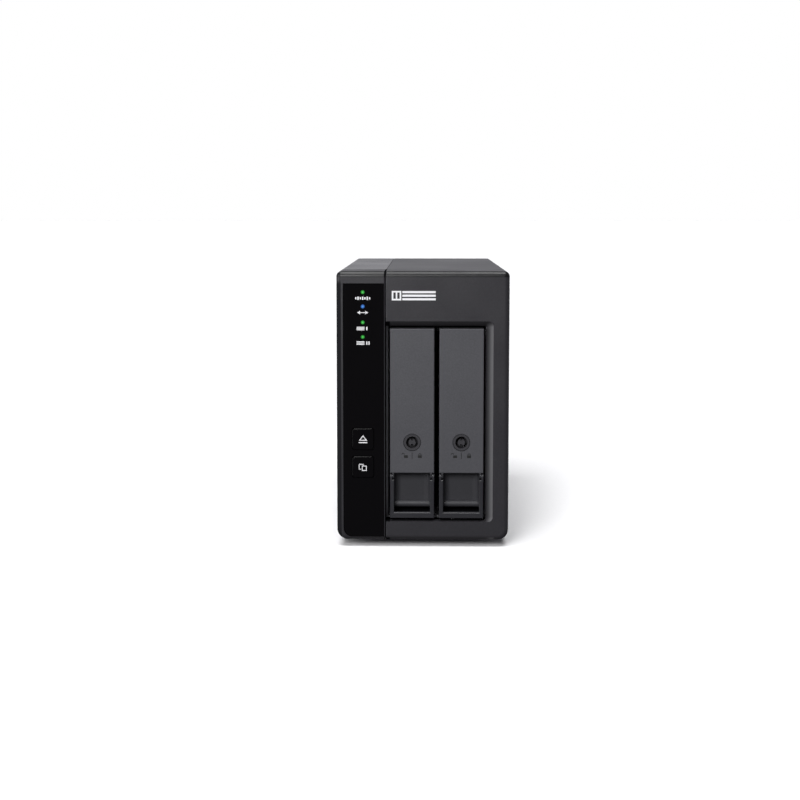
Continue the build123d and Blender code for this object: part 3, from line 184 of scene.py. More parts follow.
# %% [markdown]
# Every finish below is a small set of nodes round one Principled shader. Three things make a surface look
# made rather than painted by a computer: its colour drifts a little, its gloss drifts a little, and it has
# a fine relief. These helpers add each of them from noise in Object coordinates, so a pattern stays
# on its piece when the piece moves.

# %% Helpers for finishes
def new_finish(name, colour, roughness, metallic=0.0, shine=0.5):
    finish = bpy.data.materials.new(name)
    finish.use_nodes = True
    shader = finish.node_tree.nodes["Principled BSDF"]
    shader.inputs["Base Color"].default_value = (*colour, 1.0)
    shader.inputs["Roughness"].default_value = roughness
    shader.inputs["Metallic"].default_value = metallic
    shader.inputs["Specular IOR Level"].default_value = shine
    return finish


def noise(finish, size, detail=3.0, stretch=(1.0, 1.0, 1.0), kind="ShaderNodeTexNoise"):
    """A noise or cell texture whose features are about `size` metres wide."""
    tree = finish.node_tree
    coords = tree.nodes.new("ShaderNodeTexCoord")
    mapping = tree.nodes.new("ShaderNodeMapping")
    mapping.inputs["Scale"].default_value = stretch
    texture = tree.nodes.new(kind)
    texture.inputs["Scale"].default_value = 1.0 / size
    if "Detail" in texture.inputs:
        texture.inputs["Detail"].default_value = detail
    tree.links.new(coords.outputs["Object"], mapping.inputs["Vector"])
    tree.links.new(mapping.outputs["Vector"], texture.inputs["Vector"])
    return texture


def level(finish, source, low, high, start=0.3, end=0.7):
    """Stretches the part of a texture between start and end to the numbers low to high."""
    spread = finish.node_tree.nodes.new("ShaderNodeMapRange")
    spread.inputs["From Min"].default_value = start
    spread.inputs["From Max"].default_value = end
    spread.inputs["To Min"].default_value = low
    spread.inputs["To Max"].default_value = high
    finish.node_tree.links.new(source, spread.inputs["Value"])
    return spread.outputs["Result"]


def drift_colour(finish, source, first, second, start=0.3, end=0.7):
    """Base colour that runs from first to second as the texture goes from start to end."""
    ramp = finish.node_tree.nodes.new("ShaderNodeValToRGB")
    ramp.color_ramp.elements[0].position = start
    ramp.color_ramp.elements[0].color = (*first, 1.0)
    ramp.color_ramp.elements[1].position = end
    ramp.color_ramp.elements[1].color = (*second, 1.0)
    shader = finish.node_tree.nodes["Principled BSDF"]
    finish.node_tree.links.new(source, ramp.inputs["Fac"])
    finish.node_tree.links.new(ramp.outputs["Color"], shader.inputs["Base Color"])
    return ramp.outputs["Color"]


def drift_gloss(finish, source, low, high, start=0.3, end=0.7):
    shader = finish.node_tree.nodes["Principled BSDF"]
    finish.node_tree.links.new(level(finish, source, low, high, start, end), shader.inputs["Roughness"])


def relief(finish, source, depth, strength=1.0):
    """Bump of `depth` metres; a second call sits on top of the first."""
    tree = finish.node_tree
    bump = tree.nodes.new("ShaderNodeBump")
    bump.inputs["Distance"].default_value = depth
    bump.inputs["Strength"].default_value = strength
    shader = tree.nodes["Principled BSDF"]
    if shader.inputs["Normal"].links:
        tree.links.new(shader.inputs["Normal"].links[0].from_socket, bump.inputs["Normal"])
    tree.links.new(source, bump.inputs["Height"])
    tree.links.new(bump.outputs["Normal"], shader.inputs["Normal"])


def colour_mix(finish):
    """The amount, first colour, second colour and result of a node that mixes two colours."""
    blend = finish.node_tree.nodes.new("ShaderNodeMix")
    blend.data_type = "RGBA"
    return blend.inputs[0], blend.inputs[6], blend.inputs[7], blend.outputs[2]


def dress(finish, *nodes):
    """Puts a finish on the named pieces of the frame, in place of the plain one they came with."""
    for name in nodes:
        piece = bpy.data.objects[name]
        for place in piece.material_slots:
            place.material = finish
    print(finish.name, "on", len(nodes), "pieces")


# %% [markdown]
# The two covers are steel sheet with a sprayed satin paint. Spray dries with a faint orange peel, a ripple
# under a millimetre wide that breaks up reflections. Two noises make it: a wide one for the gloss and a
# small one for the peel. The narrow cover on the left is sprayed glossier than the wide one.

# %% Cover paint
def cover_paint(name, colour, gloss):
    finish = new_finish(name, colour, gloss)
    clouds = noise(finish, 60 * MM)
    peel = noise(finish, 0.7 * MM, detail=2.0)
    lighter = tuple(c * 1.25 for c in colour)
    drift_colour(finish, clouds.outputs["Fac"], colour, lighter)
    drift_gloss(finish, clouds.outputs["Fac"], gloss - 0.03, gloss + 0.05)
    relief(finish, peel.outputs["Fac"], 0.012 * MM)
    return finish


dress(cover_paint("left_cover_paint", (0.022, 0.021, 0.025), 0.24), "left_cover")
dress(cover_paint("right_cover_paint", (0.022, 0.021, 0.025), 0.34), "right_cover")

# %% [markdown]
# Moulded plastic takes its skin from the mould. A spark-eroded mould leaves pits a few tenths of a
# millimetre wide, so the plastic looks satin and not like glass. A cell texture makes the pits, a fine
# noise mottles the colour and a wide one drifts the gloss, as handling does.

# %% Moulded plastics
def moulded(name, colour, gloss, pit=0.35 * MM, depth=0.02 * MM, shine=0.35, lift=1.2):
    finish = new_finish(name, colour, gloss, shine=shine)
    handling = noise(finish, 25 * MM, detail=5.0)
    pits = noise(finish, pit, kind="ShaderNodeTexVoronoi")
    mottle = noise(finish, pit * 2, detail=2.0)
    drift_colour(finish, mottle.outputs["Fac"], colour, tuple(c * lift for c in colour))
    drift_gloss(finish, handling.outputs["Fac"], gloss - 0.05, gloss + 0.07)
    relief(finish, pits.outputs["Distance"], depth)
    return finish


dress(moulded("handle_plastic", (0.024, 0.024, 0.028), 0.34), "tray_handle_1", "tray_handle_2")
dress(moulded("lock_plastic", (0.042, 0.041, 0.046), 0.36), "lock_barrel_1", "lock_barrel_2")
dress(moulded("sled_plastic", (0.045, 0.045, 0.050), 0.5), "tray_sled_1", "tray_sled_2")
dress(moulded("inner_black_plastic", (0.018, 0.018, 0.020), 0.4), "guide_rails", "board_connector",
      "controller_chip", "dc_jack", "mode_switch", "power_switch", "drive_sockets", "fan_frame", "fan_rotor",
      "power_rocker", "panel_switches")
dress(moulded("slider_plastic", (0.62, 0.61, 0.58), 0.42, lift=1.08), "mode_slider_1", "mode_slider_2",
      "set_button", "panel_diodes")

# %% [markdown]
# Light and shade are painted into the colour of a few mouldings. The slope at the right of the pocket gets a
# pale painted highlight, and its downward-facing top is painted a little paler. Painted shade darkens the
# left end of the pocket, the outer left edge and the tray-side face of the control panel's frame, and the
# finger hollows and the space under their foot, which go almost black. A painted dark reflection runs along
# the foot of the rounded front top edges. The trays are also darker below the seam. Every place belongs to
# one piece, so the finish finds it by
# place: smooth steps along X, Y and Z are multiplied into a mask, and the mask mixes a second colour over the
# first.
# Where shade is painted the shine is taken away too, because black plastic seen at a low angle would
# otherwise mirror the room like a wet road.

# %% Painted light and shade by place
FRAME_COLOUR = (0.029, 0.028, 0.032)
TRAY_COLOUR = (0.068, 0.068, 0.076)


def step_on(finish, axis, start, end):
    """Goes from 0 to 1 between two places, in metres, along an axis of the piece."""
    tree = finish.node_tree
    coords = tree.nodes.new("ShaderNodeTexCoord")
    parts = tree.nodes.new("ShaderNodeSeparateXYZ")
    tree.links.new(coords.outputs["Object"], parts.inputs["Vector"])
    return ramp_between(tree, parts.outputs[axis], start, end)


def tint_where(finish, colour, first_step, *more_steps):
    """Mixes a colour over the finish where every step is on."""
    tree = finish.node_tree
    shader = tree.nodes["Principled BSDF"]
    mask = first_step
    for step in more_steps:
        mask = combine(tree, "MULTIPLY", mask, step)
    amount, under, over, result = colour_mix(finish)
    over.default_value = (*colour, 1.0)
    tree.links.new(mask, amount)
    tree.links.new(shader.inputs["Base Color"].links[0].from_socket, under)
    tree.links.new(result, shader.inputs["Base Color"])
    return mask


def dull_where(finish, *masks):
    """Takes the shine away where any of the masks is on."""
    tree = finish.node_tree
    place = tree.nodes["Principled BSDF"].inputs["Specular IOR Level"]
    total = masks[0]
    for mask in masks[1:]:
        total = combine(tree, "MAXIMUM", total, mask)
    tree.links.new(ramp_between(tree, total, 0.0, 1.0, place.default_value, 0.0), place)


def paint_dark_reflection_on_front_rounding(finish, node):
    """Paints a dark reflection on the foot of the rounding along a frame's front top edge."""
    low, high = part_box(node)
    # Painted dark reflection: the band where the rounding faces the dim room is made almost black.
    tint_where(finish, (0.007, 0.007, 0.008), step_on(finish, "Z", high.z - 3.8 * MM, high.z - 3.0 * MM),
               step_on(finish, "Y", low.y + 2.6 * MM, low.y + 1.8 * MM))


def front_frame_with_painted_light_and_shade():
    """A pale painted highlight on the slope at the right of the pocket, a little paler painted light along
    its downward-facing top, and painted shade at its left end.
    """
    finish = moulded("front_frame_plastic_painted_light_and_shade", FRAME_COLOUR, 0.34)
    tray_left, tray_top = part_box("tray_fascia_1")[0].x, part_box("tray_fascia_1")[1].z
    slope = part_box("tray_fascia_2")[1].x + 1.2 * MM
    front_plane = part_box("front_bezel")[0].y
    behind_front = step_on(finish, "Y", front_plane + 0.1 * MM, front_plane + 0.5 * MM)
    under_top = step_on(finish, "Z", tray_top + 8.0 * MM, tray_top + 6.0 * MM)
    within_slope = step_on(finish, "X", slope + 5.2 * MM, slope + 4.9 * MM)
    # Painted highlight: the slope is made pale, as if the lamp on the left fell brighter on it.
    tint_where(finish, (0.125, 0.124, 0.130), step_on(finish, "X", slope, slope + 4.0 * MM), within_slope,
               behind_front, under_top)
    # Painted light: the downward-facing top of the slope is made a little paler.
    tint_where(finish, (0.060, 0.059, 0.063), step_on(finish, "Z", tray_top + 1.0 * MM, tray_top + 3.5 * MM),
               under_top, within_slope, behind_front)
    # Painted shade: the left wall of the pocket, deep in the gap beside the first tray, is made almost black
    # and loses its shine.
    inner_end_shade = tint_where(finish, (0.006, 0.006, 0.007), behind_front, under_top,
                           step_on(finish, "X", tray_left + 0.1 * MM, tray_left - 0.2 * MM))
    dull_where(finish, inner_end_shade)
    paint_dark_reflection_on_front_rounding(finish, "front_bezel")
    return finish


def panel_frame_with_painted_shade():
    """Painted shade: darker along the outer edge, and almost black on the side that faces the trays."""
    finish = moulded("panel_frame_plastic_painted_shade", FRAME_COLOUR, 0.34)
    low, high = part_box("panel_bezel")
    # Painted shade: the rounded outer left edge is made darker and loses its shine.
    outer_edge_shade = tint_where(finish, (0.016, 0.016, 0.018),
                            step_on(finish, "X", low.x + 3.0 * MM, low.x + 2.6 * MM),
                            step_on(finish, "Y", low.y + 3.4 * MM, low.y + 2.6 * MM),
                            step_on(finish, "Z", high.z - 4.0 * MM, high.z - 8.0 * MM))
    # Painted shade: the side facing the trays, deep in the gap, is made almost black and loses its shine.
    inner_side_shade = tint_where(finish, (0.003, 0.003, 0.004),
                            step_on(finish, "X", high.x - 0.6 * MM, high.x - 0.4 * MM),
                            step_on(finish, "Y", low.y + 0.5 * MM, low.y + 0.9 * MM))
    dull_where(finish, outer_edge_shade, inner_side_shade)
    paint_dark_reflection_on_front_rounding(finish, "panel_bezel")
    return finish


def tray_with_painted_shade(bay):
    """Darker below the seam, with painted shade, almost black, deep in the finger hollow and under its foot.
    """
    finish = moulded("tray_plastic_painted_shade_" + bay, TRAY_COLOUR, 0.44)
    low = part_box("tray_fascia_" + bay)[0]
    handle_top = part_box("tray_handle_" + bay)[1].z
    below_seam = step_on(finish, "Z", handle_top + 0.4 * MM, handle_top + 0.2 * MM)
    tint_where(finish, (0.026, 0.026, 0.030), below_seam)
    tint_where(finish, (0.044, 0.044, 0.050), below_seam,
               step_on(finish, "Y", low.y + 4.4 * MM, low.y + 5.4 * MM))
    # Painted shade: the deep hollow behind the wall is made almost black and loses its shine.
    deep = tint_where(finish, (0.005, 0.005, 0.006), below_seam,
                      step_on(finish, "Y", low.y + 8.3 * MM, low.y + 9.3 * MM))
    # Painted shade: the floor under the wall's lower edge is made almost black and loses its shine.
    foot = tint_where(finish, (0.005, 0.005, 0.006), step_on(finish, "Z", low.z + 6.5 * MM, low.z + 5.0 * MM),
                      step_on(finish, "Y", low.y + 3.4 * MM, low.y + 3.8 * MM))
    dull_where(finish, deep, foot)
    return finish


dress(front_frame_with_painted_light_and_shade(), "front_bezel")
dress(panel_frame_with_painted_shade(), "panel_bezel")
for bay in ("1", "2"):
    dress(tray_with_painted_shade(bay), "tray_fascia_" + bay)

# %% [markdown]
# The control panel is a clear cap with black paint behind it, so it is black and mirror smooth. All that
# breaks its reflection is a haze from wiping: gloss that drifts over a few centimetres and very fine rubs.

# %% Gloss panel
def gloss_black(name):
    finish = new_finish(name, (0.0022, 0.0020, 0.0024), 0.05, shine=0.18)
    haze = noise(finish, 30 * MM, detail=6.0)
    rubs = noise(finish, 1.2 * MM, detail=4.0, stretch=(4.0, 4.0, 0.5))
    drift_colour(finish, rubs.outputs["Fac"], (0.0020, 0.0018, 0.0022), (0.0030, 0.0026, 0.0032))
    drift_gloss(finish, haze.outputs["Fac"], 0.04, 0.11)
    relief(finish, rubs.outputs["Fac"], 0.0008 * MM)
    return finish


panel_black = gloss_black("panel_black")
dress(panel_black, "panel_lens", "eject_button", "copy_button")

# %% [markdown]
# Bare metal is told apart by its making. Zinc-coated sheet shows crystals, castings are pitted and
# stained, and screws, standoffs and fins carry very fine tool marks. All are metallic shaders, each with
# its own texture.

# %% Metals
def zinc_sheet(name):
    finish = new_finish(name, (0.45, 0.46, 0.48), 0.38, metallic=1.0)
    crystals = noise(finish, 7 * MM, kind="ShaderNodeTexVoronoi")
    grain = noise(finish, 0.5 * MM, detail=5.0, stretch=(1.0, 0.12, 1.0))
    drift_colour(finish, crystals.outputs["Color"], (0.43, 0.44, 0.46), (0.52, 0.53, 0.55), 0.1, 0.9)
    drift_gloss(finish, crystals.outputs["Color"], 0.33, 0.43, 0.1, 0.9)
    relief(finish, grain.outputs["Fac"], 0.006 * MM)
    return finish


def cast_metal(name):
    finish = new_finish(name, (0.50, 0.51, 0.53), 0.5, metallic=1.0)
    skin = noise(finish, 0.6 * MM, detail=6.0)
    stain = noise(finish, 22 * MM)
    drift_colour(finish, stain.outputs["Fac"], (0.42, 0.43, 0.45), (0.56, 0.57, 0.59))
    drift_gloss(finish, stain.outputs["Fac"], 0.42, 0.58)
    relief(finish, skin.outputs["Fac"], 0.05 * MM)
    return finish


def turned_metal(name, dark, light, gloss):
    finish = new_finish(name, dark, gloss, metallic=1.0)
    marks = noise(finish, 0.25 * MM, detail=4.0)
    drift_colour(finish, marks.outputs["Fac"], dark, light)
    drift_gloss(finish, marks.outputs["Fac"], gloss - 0.06, gloss + 0.08)
    relief(finish, marks.outputs["Fac"], 0.004 * MM)
    return finish


zinc = zinc_sheet("zinc_sheet")
dress(zinc, "drive_cage", "cage_lid", "drive_lid_1", "drive_lid_2", "data_socket")
dress(cast_metal("drive_casting"), "drive_body_1", "drive_body_2")
dress(turned_metal("screw_zinc", (0.42, 0.44, 0.50), (0.62, 0.63, 0.68), 0.26), "cage_screws",
      "board_screws", "foot_screws", "drive_screws_1", "drive_screws_2", "handle_pins_1", "handle_pins_2",
      "lock_cam_1", "lock_cam_2")
dress(turned_metal("rear_screw_black", (0.05, 0.05, 0.055), (0.09, 0.09, 0.10), 0.32), "rear_screws")
dress(turned_metal("brass", (0.62, 0.44, 0.18), (0.78, 0.58, 0.27), 0.25), "board_standoffs")
dress(turned_metal("anodised_fins", (0.22, 0.23, 0.25), (0.30, 0.31, 0.33), 0.36), "heat_sink")

# %% [markdown]
# The rear panel is powder coated: dry powder melted onto steel, much rougher than spray. The feet are
# rubber, the mattest surface here, with dust in its skin.

# %% Powder coat and rubber
def powder_coat(name):
    finish = new_finish(name, (0.034, 0.034, 0.036), 0.48)
    grit = noise(finish, 0.45 * MM, detail=2.0)
    clouds = noise(finish, 35 * MM)
    drift_colour(finish, grit.outputs["Fac"], (0.027, 0.027, 0.029), (0.050, 0.050, 0.053))
    drift_gloss(finish, clouds.outputs["Fac"], 0.42, 0.55)
    relief(finish, grit.outputs["Fac"], 0.035 * MM)
    return finish


def foot_rubber(name):
    finish = new_finish(name, (0.020, 0.020, 0.020), 0.8, shine=0.25)
    dust = noise(finish, 2.2 * MM, detail=7.0)
    drift_colour(finish, dust.outputs["Fac"], (0.016, 0.016, 0.016), (0.050, 0.049, 0.047), 0.45, 0.75)
    drift_gloss(finish, dust.outputs["Fac"], 0.72, 0.9)
    relief(finish, dust.outputs["Fac"], 0.03 * MM)
    return finish


dress(powder_coat("rear_powder_coat"), "rear_panel")
dress(foot_rubber("foot_rubber"), "rubber_feet")

# %% [markdown]
# A circuit board is glass cloth under green lacquer, with copper tracks that show as lighter lines and
# rows of plated holes. A brick texture with thin mortar draws straight tracks, a wide noise leaves them out
# in patches, and a cell texture with no randomness draws the even grid of holes.

# %% Circuit board
def circuit_board(name, turn):
    finish = new_finish(name, (0.010, 0.085, 0.040), 0.3)
    tree = finish.node_tree
    coords = tree.nodes.new("ShaderNodeTexCoord")
    lay = tree.nodes.new("ShaderNodeMapping")
    lay.inputs["Rotation"].default_value = turn
    tracks = tree.nodes.new("ShaderNodeTexBrick")
    tracks.inputs["Scale"].default_value = 150.0
    tracks.inputs["Mortar Size"].default_value = 0.018
    tracks.inputs["Color1"].default_value = (0.008, 0.070, 0.032, 1.0)
    tracks.inputs["Color2"].default_value = (0.012, 0.090, 0.042, 1.0)
    tracks.inputs["Mortar"].default_value = (0.030, 0.150, 0.062, 1.0)
    holes = tree.nodes.new("ShaderNodeTexVoronoi")
    holes.inputs["Scale"].default_value = 1.0 / (2.54 * MM)
    holes.inputs["Randomness"].default_value = 0.0
    near = tree.nodes.new("ShaderNodeMath")
    near.operation = "LESS_THAN"
    near.inputs[1].default_value = 0.16
    track_amount, lacquer, track_colour, board_colour = colour_mix(finish)
    lacquer.default_value = (0.009, 0.078, 0.036, 1.0)
    hole_amount, beside_holes, plating, finished_colour = colour_mix(finish)
    plating.default_value = (0.62, 0.50, 0.26, 1.0)
    shader = tree.nodes["Principled BSDF"]
    tree.links.new(coords.outputs["Object"], lay.inputs["Vector"])
    tree.links.new(lay.outputs["Vector"], tracks.inputs["Vector"])
    tree.links.new(lay.outputs["Vector"], holes.inputs["Vector"])
    tree.links.new(holes.outputs["Distance"], near.inputs[0])
    patches = noise(finish, 12 * MM).outputs["Fac"]
    tree.links.new(level(finish, patches, 0.0, 1.0, 0.42, 0.56), track_amount)
    tree.links.new(tracks.outputs["Color"], track_colour)
    tree.links.new(board_colour, beside_holes)
    tree.links.new(near.outputs["Value"], hole_amount)
    tree.links.new(finished_colour, shader.inputs["Base Color"])
    drift_gloss(finish, noise(finish, 8 * MM).outputs["Fac"], 0.24, 0.38)
    relief(finish, tracks.outputs["Fac"], 0.03 * MM)
    return finish


side_board = circuit_board("side_circuit_board", (0.0, math.pi / 2, 0.0))
front_board = circuit_board("front_circuit_board", (math.pi / 2, 0.0, 0.0))
dress(side_board, "main_board", "drive_board_1", "drive_board_2")
dress(front_board, "control_board", "backplane")

# %% [markdown]
# A light pipe is a clear rod with a lamp at its far end. Its face is brightest in the middle and dims to
# the wall. The Emission of the shader takes a glow that falls off with the distance from the rod's axis,
# measured in Object coordinates moved to the middle of that rod.

# %% Lit lamps
def lit_pipe(node, core, rim, strength):
    low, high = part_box(node)
    middle = (low + high) / 2
    finish = new_finish(node + "_glow", rim, 0.25)
    tree = finish.node_tree
    coords = tree.nodes.new("ShaderNodeTexCoord")
    centre = tree.nodes.new("ShaderNodeMapping")
    centre.inputs["Location"].default_value = (-middle.x, 0.0, -middle.z)
    flat = tree.nodes.new("ShaderNodeVectorMath")
    flat.operation = "MULTIPLY"
    flat.inputs[1].default_value = (1.0, 0.0, 1.0)
    reach = tree.nodes.new("ShaderNodeVectorMath")
    reach.operation = "LENGTH"
    ramp = tree.nodes.new("ShaderNodeValToRGB")
    ramp.color_ramp.elements[0].color = (*core, 1.0)
    ramp.color_ramp.elements[1].color = (*rim, 1.0)
    shader = tree.nodes["Principled BSDF"]
    tree.links.new(coords.outputs["Object"], centre.inputs["Vector"])
    tree.links.new(centre.outputs["Vector"], flat.inputs[0])
    tree.links.new(flat.outputs["Vector"], reach.inputs[0])
    tree.links.new(level(finish, reach.outputs["Value"], 0.0, 1.0, 0.15 * MM, 0.95 * MM), ramp.inputs["Fac"])
    tree.links.new(ramp.outputs["Color"], shader.inputs["Emission Color"])
    shader.inputs["Emission Strength"].default_value = strength
    relief(finish, noise(finish, 0.4 * MM).outputs["Fac"], 0.01 * MM)
    dress(finish, node)


GREEN_CORE, GREEN_RIM = (0.16, 1.0, 0.18), (0.004, 0.12, 0.010)
BLUE_CORE, BLUE_RIM = (0.14, 0.42, 1.0), (0.010, 0.06, 0.22)
for lamp_node in ("status_light", "drive_1_light", "drive_2_light"):
    lit_pipe(lamp_node, GREEN_CORE, GREEN_RIM, 0.55)
lit_pipe("link_light", BLUE_CORE, BLUE_RIM, 0.6)

# %% [markdown]
# Printed marks are ink a few hundredths of a millimetre thick. An image would blur close up, so each mark
# is a very thin plate of its own: flat faces drawn with the create operators in an upright sheet, then
# extruded forward. The helpers below draw on that sheet: bars, discs, rings, frames and wedges, in
# millimetres right and up from the mark's middle.

# %% Helpers for printed marks
INK_DEPTH = 0.04 * MM


def sheet_place(right, up):
    """Turns the flat drawing plane upright, facing the front, at a place in millimetres."""
    return Matrix.Translation((right * MM, 0.0, up * MM)) @ Matrix.Rotation(math.pi / 2, 4, "X")


def bar(mesh, right, up, wide, tall, turn=0.0):
    place = sheet_place(right, up) @ Matrix.Rotation(turn, 4, "Z")
    stretch = Matrix.Diagonal((wide * MM, tall * MM, 1.0, 1.0))
    made = bmesh.ops.create_grid(mesh, x_segments=1, y_segments=1, size=0.5, matrix=place @ stretch)
    return list({f for v in made["verts"] for f in v.link_faces})


def disc(mesh, right, up, radius, corners=40, turn=0.0, squash=1.0):
    place = sheet_place(right, up) @ Matrix.Diagonal((1.0, squash, 1.0, 1.0)) @ Matrix.Rotation(turn, 4, "Z")
    made = bmesh.ops.create_circle(mesh, cap_ends=True, segments=corners, radius=radius * MM, matrix=place)
    return list({f for v in made["verts"] for f in v.link_faces})


def hollow(mesh, faces, wall):
    """Leaves only an edge of the given width, in millimetres, from a flat shape."""
    bmesh.ops.inset_region(mesh, faces=faces, thickness=wall * MM, use_even_offset=True, use_boundary=True)
    bmesh.ops.delete(mesh, geom=faces, context="FACES")


def printed(name, draw, middle, ink, body, turn=0.0, lean=0.0):
    """Draws a mark, thickens it and sets it on a surface. It faces the front; a turn of pi prints on the
    rear, a turn of -pi/2 on the left, and a lean tips it back."""
    mesh = bmesh.new()
    draw(mesh)
    flat = list(mesh.faces)
    bmesh.ops.recalc_face_normals(mesh, faces=flat)
    grown = bmesh.ops.extrude_face_region(mesh, geom=flat)
    tops = [g for g in grown["geom"] if isinstance(g, bmesh.types.BMVert)]
    bmesh.ops.translate(mesh, verts=tops, vec=(0.0, -INK_DEPTH, 0.0))
    aim = Matrix.Rotation(lean, 3, "X") @ Matrix.Rotation(turn, 3, "Z")
    bmesh.ops.rotate(mesh, verts=mesh.verts, matrix=aim)
    bmesh.ops.translate(mesh, verts=mesh.verts, vec=middle)
    bmesh.ops.recalc_face_normals(mesh, faces=mesh.faces)
    piece_from(name, mesh, ink, body)


def piece_from(name, mesh, finish, body):
    """Turns a drawn mesh into a piece that rides on a body of the frame."""
    data = bpy.data.meshes.new(name)
    mesh.to_mesh(data)
    mesh.free()
    data.materials.append(finish)
    piece = bpy.data.objects.new(name, data)
    bpy.context.collection.objects.link(piece)
    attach(piece, body)


# %% [markdown]
# Printing ink is slightly uneven: it is thinner where the pad lifted off. A fine noise takes the colour
# back a little in small spots. The same recipe serves for the paper of the labels further down.

# %% Inks
def printing_ink(name, full, thin, gloss):
    finish = new_finish(name, full, gloss)
    lift = noise(finish, 0.3 * MM, detail=6.0)
    drift_colour(finish, lift.outputs["Fac"], thin, full, 0.25, 0.45)
    drift_gloss(finish, lift.outputs["Fac"], gloss, gloss + 0.15)
    relief(finish, lift.outputs["Fac"], 0.004 * MM)
    return finish


white_ink = printing_ink("white_ink", (0.88, 0.88, 0.90), (0.70, 0.70, 0.72), 0.45)
dark_ink = printing_ink("dark_ink", (0.004, 0.004, 0.004), (0.010, 0.010, 0.011), 0.6)

# %% [markdown]
# Beside the lamps stand small marks that say what each one shows: a row of bars for the state of the box,
# a double arrow for the link, and a stack with one or two strokes for each drive. They carry no words.

# %% Marks under the lamps
def state_mark(mesh):
    for step, tall in enumerate((1.3, 1.9, 1.3, 1.9, 1.3, 1.9, 1.3)):
        bar(mesh, (step - 3) * 1.35, 0.0, 0.8, tall)


def link_mark(mesh):
    bar(mesh, 0.0, 0.0, 3.4, 0.45)
    disc(mesh, 2.1, 0.0, 1.15, corners=3, turn=-math.pi / 2)
    disc(mesh, -2.1, 0.0, 1.15, corners=3, turn=math.pi / 2)


def drive_mark(count):
    def draw(mesh):
        for row in (-0.75, 0.0, 0.75):
            bar(mesh, -1.3, row, 4.6, 0.5)
        for tick in range(count):
            bar(mesh, 2.4 + tick * 1.3, 0.0, 0.7, 2.0)
    return draw


LENS_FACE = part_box("panel_lens")[0].y
MARK_DROP = 3.6 * MM
for lamp_node, draw_mark in (("status_light", state_mark), ("link_light", link_mark),
                             ("drive_1_light", drive_mark(1)), ("drive_2_light", drive_mark(2))):
    lamp_low, lamp_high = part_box(lamp_node)
    spot = Vector(((lamp_low.x + lamp_high.x) / 2, LENS_FACE, (lamp_low.z + lamp_high.z) / 2 - MARK_DROP))
    printed(lamp_node + "_mark", draw_mark, spot, white_ink, "root")
print("marks printed on a face at y", round(LENS_FACE, 4))

# %% [markdown]
# Each push button carries its job: a wedge over a bar to let a disk go, and two overlapping sheets to
# copy. The sheets are hollow frames; the nearer one hides the corner of the other.

# %% Button symbols
def eject_symbol(mesh):
    hollow(mesh, disc(mesh, 0.0, 0.2, 2.9, corners=3, squash=0.75), 0.5)
    bar(mesh, 0.0, -2.05, 5.0, 0.6)


def copy_symbol(mesh):
    hollow(mesh, bar(mesh, 0.75, -0.75, 2.9, 3.1), 0.45)
    bar(mesh, -0.95, 1.6, 3.1, 0.45)
    bar(mesh, -2.3, 0.1, 0.45, 3.0)
    bar(mesh, 0.4, 1.35, 0.45, 0.9)
    bar(mesh, -1.75, -1.3, 1.1, 0.45)


for button, draw_symbol in (("eject_button", eject_symbol), ("copy_button", copy_symbol)):
    button_low, button_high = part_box(button)
    spot = Vector(((button_low.x + button_high.x) / 2, button_low.y, (button_low.z + button_high.z) / 2))
    printed(button + "_symbol", draw_symbol, spot, white_ink, button)

# %% [markdown]
# Beside every lock a pair of padlocks says which way to turn the key: open to the left, shut to the
# right, with a fine line between them. The shackle is a ring cut in half by bisect_plane.

# %% Lock marks
def padlock(mesh, right, lift, lean):
    bar(mesh, right, -0.55, 2.3, 1.6)
    before = set(mesh.faces)
    hollow(mesh, disc(mesh, right + lean, 0.45 + lift, 0.95, corners=24), 0.42)
    ring = [f for f in mesh.faces if f not in before]
    edges = {e for f in ring for e in f.edges}
    points = {v for f in ring for v in f.verts}
    bmesh.ops.bisect_plane(mesh, geom=[*ring, *edges, *points], plane_co=(0.0, 0.0, (0.4 + lift) * MM),
                           plane_no=(0.0, 0.0, -1.0), clear_outer=True)


def lock_marks(mesh):
    padlock(mesh, -3.7, 0.3, -1.6)
    bar(mesh, 0.0, 0.0, 0.35, 3.8)
    padlock(mesh, 4.6, 0.0, 0.0)


LOCK_MARK_DROP = 7.9 * MM
for bay in ("1", "2"):
    barrel_low, barrel_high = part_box("lock_barrel_" + bay)
    face_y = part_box("tray_fascia_" + bay)[0].y
    lock_middle = (barrel_low + barrel_high) / 2
    spot = Vector((lock_middle.x, face_y, lock_middle.z - LOCK_MARK_DROP))
    printed("lock_marks_" + bay, lock_marks, spot, dark_ink, "tray_" + bay)

# %% [markdown]
# The maker's place on the front carries a plain sign of the object itself: a frame with two bays, and
# three stripes. It is printed in white on the flat strip over the trays.

# %% Front sign
def front_sign(mesh):
    hollow(mesh, bar(mesh, -10.1, 0.0, 5.6, 5.6), 0.95)
    bar(mesh, -10.1, 0.0, 0.9, 3.8)
    for row in (-2.1, 0.0, 2.1):
        bar(mesh, 3.1, row, 19.6, 1.25)


SIGN_MIDDLE = -5.4 * MM
SIGN_DROP = 14.3 * MM
bezel_low, bezel_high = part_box("front_bezel")
sign_spot = Vector((SIGN_MIDDLE, bezel_low.y, bezel_high.z - SIGN_DROP))
printed("front_sign", front_sign, sign_spot, white_ink, "root")

# %% [markdown]
# Behind the trays each hard drive has a paper label on its lid and chips on its board. They show when a
# tray is pulled out. The label carries only blocks and lines, as a blank form would. It is paper, matt and
# slightly yellow, with a fibre in it.

# %% Drive labels
label_paper = printing_ink("label_paper", (0.74, 0.73, 0.69), (0.66, 0.65, 0.60), 0.62)


def label_sheet(mesh):
    bar(mesh, 0.0, 0.0, 62.0, 78.0)


